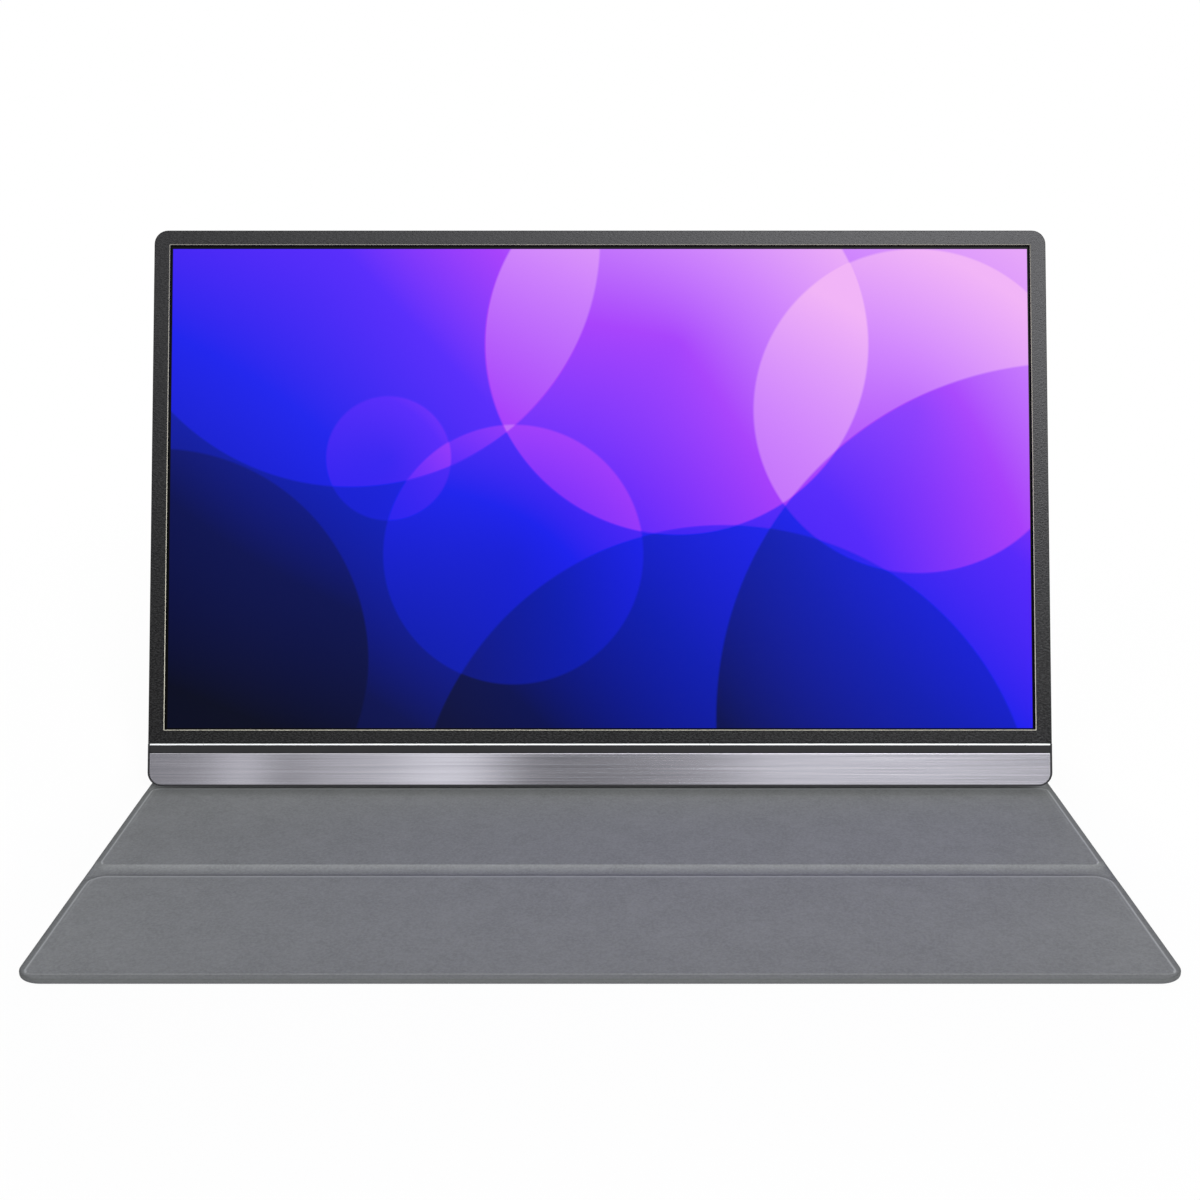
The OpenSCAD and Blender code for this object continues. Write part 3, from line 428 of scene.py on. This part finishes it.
class Recipe(Graph):
    """A material's graph round one Principled shader, in Object coordinates."""

    def __init__(self, name, **constants):
        self.material = bpy.data.materials.new(name)
        self.material.use_nodes = True
        super().__init__(self.material.node_tree)
        self.shader = self.tree.nodes["Principled BSDF"]
        for key, value in constants.items():
            self.shader.inputs[key.replace("_", " ")].default_value = value
        self.place = self.node("ShaderNodeTexCoord").outputs["Object"]

    def on_face(self, scale=(1, 1, 1), origin=(0, 0, 0)):
        """Object coordinates turned so that Y runs up the monitor's face, from a point."""
        centre = self.node("ShaderNodeVectorMath", {0: self.place, 1: origin}, operation="SUBTRACT")
        turned = self.node("ShaderNodeMapping", {
            "Vector": centre.outputs[0], "Rotation": (-tilt, 0, 0),
        })
        sized = self.node("ShaderNodeVectorMath", {
            0: turned.outputs[0], 1: scale,
        }, operation="MULTIPLY")
        return sized.outputs[0]

    def noise(self, scale, detail=3.0, rough=0.5, vector=None):
        made = self.node("ShaderNodeTexNoise", {
            "Vector": vector or self.place, "Scale": scale, "Detail": detail, "Roughness": rough,
        })
        return made.outputs["Fac"]

    def attribute(self, name):
        return self.node("ShaderNodeAttribute", attribute_name=name).outputs["Fac"]

    def colour(self, value):
        self.put(self.shader.inputs["Base Color"], value)
        return self

    def rough(self, value):
        self.put(self.shader.inputs["Roughness"], value)
        return self

    def bump(self, height, strength, distance):
        made = self.node("ShaderNodeBump", {
            "Height": height, "Strength": strength, "Distance": distance,
        })
        self.tree.links.new(made.outputs[0], self.shader.inputs["Normal"])
        return self


def shade(rgb, factor=1.0):
    """A screen colour of 0 to 255 as a light level, with full opacity."""
    level = [v / 255 for v in rgb]
    level = [v / 12.92 if v <= 0.04045 else ((v + 0.055) / 1.055) ** 2.4 for v in level]
    return tuple(v * factor for v in level) + (1.0,)


def cover_leather(name, tone):
    """Smooth grey leather: fine pebbled grain and soft mottling, with a painted highlight along the
    pads' crests, painted shade in the borders and the front groove, and a darker edge colour at the rim.
    """
    r = Recipe(name, Specular_IOR_Level=0.1)
    cloud = r.noise(70, 4, 0.6)
    mottle = r.noise(330, 3, 0.6)
    fine = r.noise(1150, 2, 0.6)
    base = r.mix(r.spread(cloud, 0.35, 0.65), shade(tone, 0.93), shade(tone, 1.07))
    base = r.mix(r.spread(mottle, 0.3, 0.7, 0, 0.5), base, shade(tone, 0.86))
    base = r.mix(r.spread(fine, 0.35, 0.65, 0, 0.6), base, shade(tone, 1.28))
    # Painted shade in the lining's soft border, on the front groove's near slope and fading in from the rim; the
    # darker edge colour at the rim of both sheets
    base = r.mix(r.attribute("border"), base, shade(tone, 0.3))
    # Painted highlight along the pads' crests
    base = r.mix(r.math("MULTIPLY", r.attribute("crest"), 0.5), base, shade(tone, 1.9))
    cells = r.node("ShaderNodeTexVoronoi", {"Vector": r.place, "Scale": 1100.0}).outputs["Distance"]
    height = r.math("ADD", r.math("MULTIPLY", cells, 0.5), fine)
    r.colour(base).rough(r.spread(mottle, 0.3, 0.7, 0.6, 0.7)).bump(height, 0.3, 0.0001)
    return r.material


def satin(name, tone, rough=0.5, metal=0.0, grain=900.0, depth=0.00004, variety=0.06, **more):
    """Plain moulded, cast or coated finish: a fine grain, with colour and gloss that vary."""
    r = Recipe(name, Metallic=metal, **more)
    wide = r.noise(90, 3, 0.55)
    fine = r.noise(grain, 2, 0.5)
    base = r.mix(r.spread(wide, 0.3, 0.7), shade(tone, 1 - variety), shade(tone, 1 + variety))
    r.colour(base).rough(r.spread(fine, 0.25, 0.75, rough * 0.9, min(1, rough * 1.1)))
    r.bump(fine, 0.25, depth)
    return r.material


def bezel_plastic():
    """Dark moulded plastic with a fine slanted grain, painted shade on its rounded rim and on the
    walls of the opening, and a lighter cut chamfer round the opening with a painted highlight.
    """
    r = Recipe("bezel_plastic", Specular_IOR_Level=0.34)
    slant = r.node("ShaderNodeMapping", {
        "Vector": r.on_face(), "Rotation": (0, 0, math.radians(38)), "Scale": (900, 1900, 900),
    }).outputs[0]
    grain = r.noise(1.0, 2, 0.6, slant)
    base = r.mix(r.spread(grain, 0.35, 0.65), shade((1, 1, 1)), shade((25, 25, 25)))
    # Lighter cut chamfer, with a painted highlight that is weaker along its upper half
    base = r.mix(r.attribute("chamfer"), base, shade((188, 185, 170)))
    # Painted shade on the rounded rim and on the walls of the opening
    base = r.mix(r.attribute("rim"), base, shade((14, 14, 14)))
    r.colour(base).rough(r.spread(grain, 0.3, 0.7, 0.2, 0.32)).bump(grain, 0.6, 0.00014)
    return r.material


def brushed_metal():
    """Anodised plate with long fine brush lines across, so reflections stretch up and down."""
    r = Recipe("brushed_metal", Metallic=1.0, Anisotropic=0.75, Anisotropic_Rotation=0.25)
    across = r.on_face((14, 5200, 14))
    fine = r.noise(1.0, 3, 0.6, across)
    broad = r.noise(1.0, 2, 0.5, r.on_face((6, 900, 6)))
    streak = r.math("ADD", r.math("MULTIPLY", fine, 0.65), r.math("MULTIPLY", broad, 0.35))
    base = r.mix(r.spread(streak, 0.3, 0.7), shade((184, 183, 189)), shade((226, 224, 230)))
    base = r.mix(r.attribute("chamfer"), base, shade((240, 240, 244)))
    tangent = r.node("ShaderNodeTangent", direction_type="UV_MAP", uv_map="UVMap")
    r.tree.links.new(tangent.outputs[0], r.shader.inputs["Tangent"])
    r.colour(base).rough(r.spread(streak, 0.3, 0.7, 0.13, 0.17)).bump(fine, 0.04, 0.00003)
    return r.material


# Discs of the picture: across, up and radius in picture heights, and their step in tone
DISCS = (
    (-0.52, 1.02, 0.52, 0.10),
    (0.98, 0.02, 0.74, -0.13),
    (0.26, -0.22, 0.64, -0.10),
    (0.16, 0.80, 0.40, 0.13),
    (0.66, 0.66, 0.34, 0.11),
    (-0.92, 0.14, 0.44, -0.07),
    (-0.18, 0.36, 0.27, 0.08),
    (-0.44, 0.56, 0.13, 0.07),
)
DISC_BLUR = 0.0025
# Colours of the picture along its tone, from the darkest to the lightest
TONES = (
    (0.0, (0, 4, 30)), (0.14, (2, 12, 80)), (0.3, (4, 24, 176)), (0.44, (22, 28, 236)),
    (0.57, (84, 34, 250)), (0.7, (164, 58, 250)), (0.84, (204, 128, 250)), (1.0, (238, 176, 244)),
)


def lit_screen():
    """Glass over a lit picture: soft round discs, each a step lighter or darker than a ground.

    The ground's tone rises in a straight line from the lower left to the upper right corner. Each
    disc adds its step, most at its rim, and one ramp turns the sum into navy, blue, violet or pink.
    """
    r = Recipe("lit_screen", Roughness=0.16, Specular_IOR_Level=0.05)
    high = (SCREEN_HIGH - SCREEN_LOW) * MM
    corner = on_monitor(0.0, SCREEN_LOW, 0.0)
    at = r.on_face((1 / high, 1 / high, 0), tuple(float(v) for v in corner))
    split = r.node("ShaderNodeSeparateXYZ", {0: at})
    across, up = split.outputs[0], split.outputs[1]
    tone = r.math("MULTIPLY_ADD", across, 0.29, 0.25)
    tone = r.math("MULTIPLY_ADD", up, 0.44, tone)
    for cx, cy, radius, step in DISCS:
        gap = r.node("ShaderNodeVectorMath", {0: at, 1: (cx, cy, 0.0)}, operation="DISTANCE")
        gap = gap.outputs["Value"]
        inside = r.spread(gap, radius - DISC_BLUR, radius + DISC_BLUR, step, 0.0)
        tone = r.math("MULTIPLY_ADD", inside, r.spread(gap, 0, radius, 0.35, 1.0), tone)
    picture = r.ramp(tone, [(place, shade(rgb)) for place, rgb in TONES])
    half = SCREEN_HALF * MM / high
    inside = r.math("LESS_THAN", r.math("ABSOLUTE", across), half)
    inside = r.math("MULTIPLY", inside, r.math("GREATER_THAN", up, 0.0))
    inside = r.math("MULTIPLY", inside, r.math("LESS_THAN", up, 1.0))
    film = r.noise(4000, 1, 0.5)
    r.colour(r.mix(r.spread(film, 0.3, 0.7, 0, 0.5), shade((5, 5, 6)), shade((9, 9, 10))))
    r.put(r.shader.inputs["Emission Color"], r.mix(inside, (0, 0, 0, 1), picture))
    r.shader.inputs["Emission Strength"].default_value = 1.0
    return r.material


finishes = {
    "lining": cover_leather("cover_lining", (118, 120, 121)),
    "leather": cover_leather("cover_leather", (112, 113, 117)),
    "housing": satin("housing_coat", (44, 44, 46), 0.42, 0.6, 1400),
    "bezel": bezel_plastic(),
    "brushed": brushed_metal(),
    "trim": satin("trim_plastic", (26, 26, 27), 0.55, 0.0, 1600, Specular_IOR_Level=0.25),
    "accent": satin("accent_chrome", (250, 251, 252), 0.3, 0.6, 700, 0.00001, 0.01),
    "black_plastic": satin("black_plastic", (38, 38, 40), 0.5, 0.0, 1300),
    "screen_glass": lit_screen(),
    "foam": satin("gasket_foam", (40, 40, 40), 0.9, 0.0, 2600, 0.00012),
    "film": satin("white_film", (236, 238, 240), 0.3, 0.0, 500),
    "guide": satin("light_guide", (218, 232, 236), 0.12, 0.0, 400),
    "white_plastic": satin("white_plastic", (228, 228, 226), 0.5, 0.0, 900),
    "led_strip": satin("led_strip", (232, 222, 180), 0.4, 0.0, 1200, 0.00005, 0.1),
    "sheet_metal": satin("sheet_metal", (196, 198, 201), 0.35, 1.0, 800),
    "circuit_board": satin("circuit_board", (20, 110, 76), 0.38, 0.0, 2200, 0.00006, 0.12),
    "amber_film": satin("amber_film", (202, 132, 52), 0.25, 0.0, 900, 0.00002, 0.08),
    "ribbon": satin("ribbon", (226, 220, 208), 0.4, 0.0, 1500),
    "shell_steel": satin("port_steel", (204, 206, 209), 0.3, 1.0, 1500),
    "chip": satin("chip_resin", (34, 34, 36), 0.62, 0.0, 2600),
    "magnet": satin("magnet_nickel", (196, 196, 200), 0.25, 1.0, 900),
    "screw": satin("screw_steel", (206, 206, 208), 0.3, 1.0, 1400),
    "wire": satin("wire_rubber", (138, 34, 34), 0.5, 0.0, 1700),
    "clear": satin("light_pipe", (226, 236, 242), 0.15, 0.0, 800),
    "button": satin("button_metal", (74, 74, 76), 0.32, 0.8, 1500),
    "grey_board": satin("grey_board", (168, 158, 142), 0.9, 0.0, 700, 0.0001, 0.12),
}

slots = {row["node"]: row["material_slot"] for row in frame["record"]["subparts"]}


def paint(piece, material):
    piece.data.materials.clear()
    piece.data.materials.append(material)


for node, thing in frame["nodes"].items():
    paint(thing, finishes[slots[node]])

# ---------------------------------------------------------------- cover pieces

# Each stretch crosses one joint: its name, its fold, the bodies before and after it, half the
# length in which it bends and how high above the web, and the CAD nodes that it stands for
SPLITS = (FRONT_END, -9.5, 30.0, SPINE + 40.0, TOP_END)
STRETCHES = (
    ("front", FLAP_FOLD, "front_flap", "middle_flap", 2.6, 0.0,
     ("front_flap_skin", "middle_flap_skin"), ("front_flap_lining", "middle_flap_lining")),
    ("foot", FOOT_FOLD, "middle_flap", "base", 1.6, 0.0, (), ()),
    ("spine", SPINE, "base", "leg", 2.5, PAD_RISE, ("base_skin",), ("base_lining",)),
    ("back", TOP_FOLD, "leg", "back_panel", 3.0, 0.0,
     ("leg_skin", "back_panel_skin"), ("leg_lining", "back_panel_lining")),
)
for number, (word, place, first, second, reach, rise, skins, linings) in enumerate(STRETCHES):
    low, high = SPLITS[number], SPLITS[number + 1]
    for kind, make, slot, nodes in (
        ("outer_leather_", outer_piece, "leather", skins),
        ("inner_lining_", lining_piece, "lining", linings),
    ):
        sheet = make(kind + word, low, high)
        paint(sheet, finishes[slot])
        if nodes:
            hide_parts(*nodes)
        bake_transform(sheet)

# ---------------------------------------------------------------- monitor pieces


def rounded_frame(half, low, high, r_low, r_high, count=9):
    """Closed outline, counter-clockwise, of a rectangle with round corners: x and s arrays."""
    quarter = np.linspace(0, math.pi / 2, count)
    xs, ss = [], []
    for cx, cs, r, turn in (
        (half - r_low, low + r_low, r_low, -math.pi / 2),
        (half - r_high, high - r_high, r_high, 0),
        (-half + r_high, high - r_high, r_high, math.pi / 2),
        (-half + r_low, low + r_low, r_low, math.pi),
    ):
        xs.append(cx + r * np.cos(quarter + turn))
        ss.append(cs + r * np.sin(quarter + turn))
    return np.concatenate(xs), np.concatenate(ss)


def face_frame(name, outer, inner, profile):
    """A frame on the monitor's face, from a profile carried round its two outlines.

    A row of the profile is (inset, depth, chamfer, rim). An inset of 0 or more goes in from the
    outer outline, and one below 0 out from the inner one. The last two say how strongly the
    chamfer's lighter tone with its painted highlight, and the rim's painted shade, show.
    """
    rows, chamfers, rims = [], [], []
    for inset, depth, chamfer, rim in profile:
        half, low, high, r_low, r_high = outer if inset >= 0 else inner
        x, s = rounded_frame(
            half - inset, low + inset, high - inset,
            max(r_low - inset, 0.001), max(r_high - inset, 0.001),
        )
        rows.append(on_monitor(x, s, depth))
        # The chamfer's painted highlight is weaker along the upper half
        chamfers.append(np.where(s < (low + high) / 2, chamfer, UPPER_HIGHLIGHT_SHARE * chamfer))
        rims.append(np.full(len(x), rim))
    piece = make_piece(name, np.array(rows), rings(len(rows), len(rows[0])).tolist(), 30)
    mark(piece, "chamfer", np.array(chamfers))
    mark(piece, "rim", np.array(rims))
    return piece


BEZEL_LOW = 16.92
OPEN_HALF, OPEN_LOW, OPEN_HIGH, BEVEL = 172.95, 22.3, 216.85, 0.22
FRONT, SHOULDER = 9.0, 7.8
# The chamfer's painted highlight is weaker along the upper half of the opening
UPPER_HIGHLIGHT_SHARE = 0.35
INNER = -1e-6
# The chamfer column paints a highlight on the cut chamfer round the opening, and the rim column paints shade on
# the rounded outer edge and on the opening's walls
bezel = face_frame(
    "screen_bezel",
    (SIDE, BEZEL_LOW, HEIGHT, SHARP, CORNER),
    (OPEN_HALF, OPEN_LOW, OPEN_HIGH, SHARP, SHARP),
    [(0.0, SHOULDER, 0, 1), (0.0, 8.62, 0, 1), (0.03, 8.76, 0, 1), (0.11, 8.89, 0, 0.9),
     (0.22, 8.97, 0, 0.8), (0.36, FRONT, 0, 0.6), (0.5, FRONT, 0, 0.2), (0.62, FRONT, 0, 0),
     (-BEVEL - 0.13, FRONT, 0, 0), (-BEVEL - 0.03, FRONT, 0, 0), (-BEVEL, 8.99, 1, 0),
     (-0.02, 8.8, 1, 0), (INNER, 8.76, 0.2, 1), (INNER, SHOULDER, 0, 1)],
)
paint(bezel, finishes["bezel"])
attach(bezel, "monitor")
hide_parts("front_bezel")


def face_plate(name, half, low, high, r_low, back, front, bevel):
    """A flat plate on the face with a narrow rounded bevel.

    Its outline shrinks in steps from the back over the bevel, and one flat face fills the last
    one. The last two outlines lie in the plane of that face, so that its shading stays flat. The
    UV map is flat too: across and up the face.
    """
    steps = [(0.0, back), (0.0, front - bevel), (bevel * 0.12, front - bevel * 0.55),
             (bevel * 0.45, front - bevel * 0.16), (bevel, front), (bevel + 0.05, front)]
    rows, chamfers = [], []
    for inset, depth in steps:
        x, s = rounded_frame(
            half - inset, low + inset, high - inset, max(r_low - inset, 0.01), 0.01,
        )
        rows.append(on_monitor(x, s, depth))
        chamfers.append(np.full(len(x), 1.0 if 0 < inset < bevel else 0.0))
    points = np.concatenate(rows)
    index = np.arange(len(points)).reshape(len(steps), -1)
    sides = rings(*index.shape)[:index[:-1].size]
    faces = sides.tolist() + [index[-1].tolist(), index[0][::-1].tolist()]
    piece = make_piece(name, points, faces, 50)
    mark(piece, "chamfer", np.array(chamfers))
    mesh = piece.data
    uv = mesh.uv_layers.new(name="UVMap")
    corners = np.zeros(len(mesh.loops), np.int32)
    mesh.loops.foreach_get("vertex_index", corners)
    up = (points[:, 1:] / MM - foot) @ face_up * MM
    flat = np.stack([points[:, 0], up], axis=1)
    uv.data.foreach_set("uv", (flat[corners] * 3 + 0.5).astype(np.float32).ravel())
    return piece


PLATE_HALF, PLATE_BACK = 178.57, 7.9
for name, node, low, high, r_low, front, bevel in (
    ("brushed_chin", "chin_plate", 0.5, 12.95, 4.77, 8.93, 0.16),
    ("black_trim", "trim_strip", 13.2, 15.98, SHARP, 8.8, 0.08),
    ("bright_accent", "accent_strip", 16.14, 16.76, SHARP, FRONT, 0.12),
):
    plate = face_plate(name, PLATE_HALF, low, high, r_low, PLATE_BACK, front, bevel)
    paint(plate, finishes[slots[node]])
    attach(plate, "monitor")
    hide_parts(node)

glass = face_plate("lit_glass", 174.5, 17.82, 218.12, SHARP, 6.3, 7.5, 0.1)
paint(glass, finishes["screen_glass"])
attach(glass, "monitor")
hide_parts("lcd_cell")


EDGE_ANGLE = 40


def softened(name, node, body, width):
    """A merged copy of a CAD node with its sharp edges rounded, which stands for the node."""
    mesh = frame["nodes"][node].data.copy()
    shape = bmesh.new()
    shape.from_mesh(mesh)
    bmesh.ops.remove_doubles(shape, verts=shape.verts, dist=2e-6)
    bmesh.ops.dissolve_limit(
        shape, angle_limit=math.radians(0.3), verts=shape.verts, edges=shape.edges,
    )
    shape.to_mesh(mesh)
    shape.free()
    mesh.name = name
    shade_smooth(mesh, EDGE_ANGLE)
    piece = place_mesh(name, mesh)
    bevel = piece.modifiers.new("soft_edges", "BEVEL")
    bevel.width = width * MM
    bevel.segments = 2
    bevel.limit_method = "ANGLE"
    bevel.angle_limit = math.radians(EDGE_ANGLE)
    paint(piece, finishes[slots[node]])
    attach(piece, body)
    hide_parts(node)


for node, body, width in (
    ("rear_housing", "monitor", 0.3), ("power_button", "power_button", 0.22),
    ("scroll_wheel", "scroll_wheel", 0.08), ("usb_c_port_lower", "monitor", 0.06),
    ("usb_c_port_upper", "monitor", 0.06), ("mini_hdmi_port", "monitor", 0.06),
    ("audio_jack", "monitor", 0.12), ("light_pipe", "monitor", 0.1),
):
    softened(node + "_finished", node, body, width)

# ---------------------------------------------------------------- stage, light, camera


def stage_plane(name, centre, half_x, half_y, turn, material):
    """A flat rectangle of the studio, which isn't part of the object, turned about X."""
    mesh = bpy.data.meshes.new(name)
    signs = ((-1, -1), (1, -1), (1, 1), (-1, 1))
    mesh.from_pydata([(a * half_x, b * half_y, 0) for a, b in signs], [], [(0, 1, 2, 3)])
    mesh.materials.append(material)
    thing = place_mesh(name, mesh)
    thing.location = centre
    thing.rotation_euler = (turn, 0, 0)
    return thing


def bare_material(name):
    """A material with an empty graph."""
    material = bpy.data.materials.new(name)
    material.use_nodes = True
    material.node_tree.nodes.clear()
    return material, Graph(material.node_tree)


def floor_material():
    """White floor that stays white for the camera, and keeps part of the object's shadow.

    The share of plain white rises from 0.93 near the object to 1 farther out.
    """
    material, g = bare_material("studio_floor")
    path = g.node("ShaderNodeLightPath").outputs
    place = g.node("ShaderNodeTexCoord").outputs["Object"]
    away = g.node("ShaderNodeVectorMath", {0: place}, operation="LENGTH").outputs["Value"]
    seen = g.math("MAXIMUM", path["Is Camera Ray"], path["Is Glossy Ray"])
    share = g.math("MULTIPLY", seen, g.spread(away, 0.25, 0.7, 0.93, 1.0))
    cloth = g.node("ShaderNodeBsdfDiffuse", {"Color": (0.86, 0.86, 0.86, 1)})
    white = g.node("ShaderNodeEmission", {"Strength": 1.0})
    g.node("ShaderNodeOutputMaterial", {"Surface": g.mix_shaders(share, cloth, white)})
    return material


stage_plane("studio_floor", (0, 0, 0), 8, 8, 0, floor_material())

CARD_HALF = 1.5


def card(name, levels, low, high, y, strength):
    """A reflector behind the camera that only reflections see.

    Its levels are pairs of a place across, in metres, and a grey between 0 and 1.
    """
    material, g = bare_material(name)
    place = g.node("ShaderNodeTexCoord").outputs["Object"]
    across = g.node("ShaderNodeSeparateXYZ", {0: place}).outputs[0]
    stops = [((x + CARD_HALF) / (2 * CARD_HALF), (v, v, v * 1.05, 1)) for x, v in levels]
    colour = g.ramp(g.spread(across, -CARD_HALF, CARD_HALF), stops)
    glow = g.node("ShaderNodeEmission", {"Color": colour, "Strength": strength})
    g.node("ShaderNodeOutputMaterial", {"Surface": glow.outputs[0]})
    thing = stage_plane(
        name, (0, y, (low + high) / 2), CARD_HALF, (high - low) / 2, math.pi / 2, material,
    )
    thing.visible_camera = False
    thing.visible_diffuse = False
    thing.visible_transmission = False
    thing.visible_shadow = False


card("lower_reflector", (
    (-0.6, 0.29), (-0.5, 0.36), (-0.445, 0.93), (-0.405, 0.24), (-0.35, 0.55), (-0.28, 0.6),
    (-0.21, 0.98), (-0.17, 0.96), (-0.09, 0.21), (0.02, 0.26), (0.13, 0.4), (0.22, 0.76),
    (0.3, 0.77), (0.42, 0.76), (0.6, 0.52),
), 0.0, 0.79, -1.3, 1.0)
card("upper_reflector", (
    (-1.4, 0.04), (-0.55, 0.2), (-0.37, 0.33), (0.0, 0.53), (0.19, 0.7), (0.4, 0.95),
    (0.6, 0.9), (1.4, 0.55),
), 0.8, 2.0, -1.31, 6.9)

# The world lights the object softly, and is plain white where the camera or a reflection sees it
SKY_LIGHT = 0.28
world = bpy.data.worlds.new("studio")
bpy.context.scene.world = world
world.use_nodes = True
world.node_tree.nodes.clear()
sky = Graph(world.node_tree)
path = sky.node("ShaderNodeLightPath").outputs
seen = sky.math("MAXIMUM", path["Is Camera Ray"], path["Is Glossy Ray"])
seen = sky.math("MAXIMUM", seen, path["Is Transmission Ray"])
soft = sky.node("ShaderNodeBackground", {"Strength": SKY_LIGHT})
white = sky.node("ShaderNodeBackground", {"Color": (1, 1, 1, 1)})
sky.node("ShaderNodeOutputWorld", {"Surface": sky.mix_shaders(seen, soft, white)})


def lamp(name, place, aim, size, power):
    """A square soft light that looks at a point, and that no reflection shows."""
    data = bpy.data.lights.new(name, "AREA")
    data.shape = "SQUARE"
    data.size = size
    data.energy = power
    thing = bpy.data.objects.new(name, data)
    thing.location = place
    thing.rotation_euler = (Vector(aim) - Vector(place)).to_track_quat("-Z", "Y").to_euler()
    bpy.context.scene.collection.objects.link(thing)
    thing.visible_glossy = False


# Lamps: place and aim in metres, size in metres and power in watts
lamp("key_light", (0.56, -2.0, 0.98), (0, 0, 0.05), 0.75, 70)
lamp("fill_light", (-0.9, -1.5, 0.7), (0, 0, 0.05), 0.8, 6)
lamp("back_light", (0.0, 1.6, 0.8), (0, 0, 0.08), 0.9, 24)

# Camera, fitted together with the sizes to edges measured in the photograph
LENS, SENSOR = 46.3, 36
EYE = (0, -0.5774, 0.2442)
LOOK_DOWN = 15.96
camera = bpy.data.objects.new("camera", bpy.data.cameras.new("camera"))
camera.data.lens = LENS
camera.data.sensor_width = SENSOR
camera.data.clip_start = 0.01
camera.location = EYE
camera.rotation_euler = (math.radians(90 - LOOK_DOWN), 0, 0)
bpy.context.scene.collection.objects.link(camera)
bpy.context.scene.camera = camera
bpy.context.scene.view_settings.view_transform = "Standard"
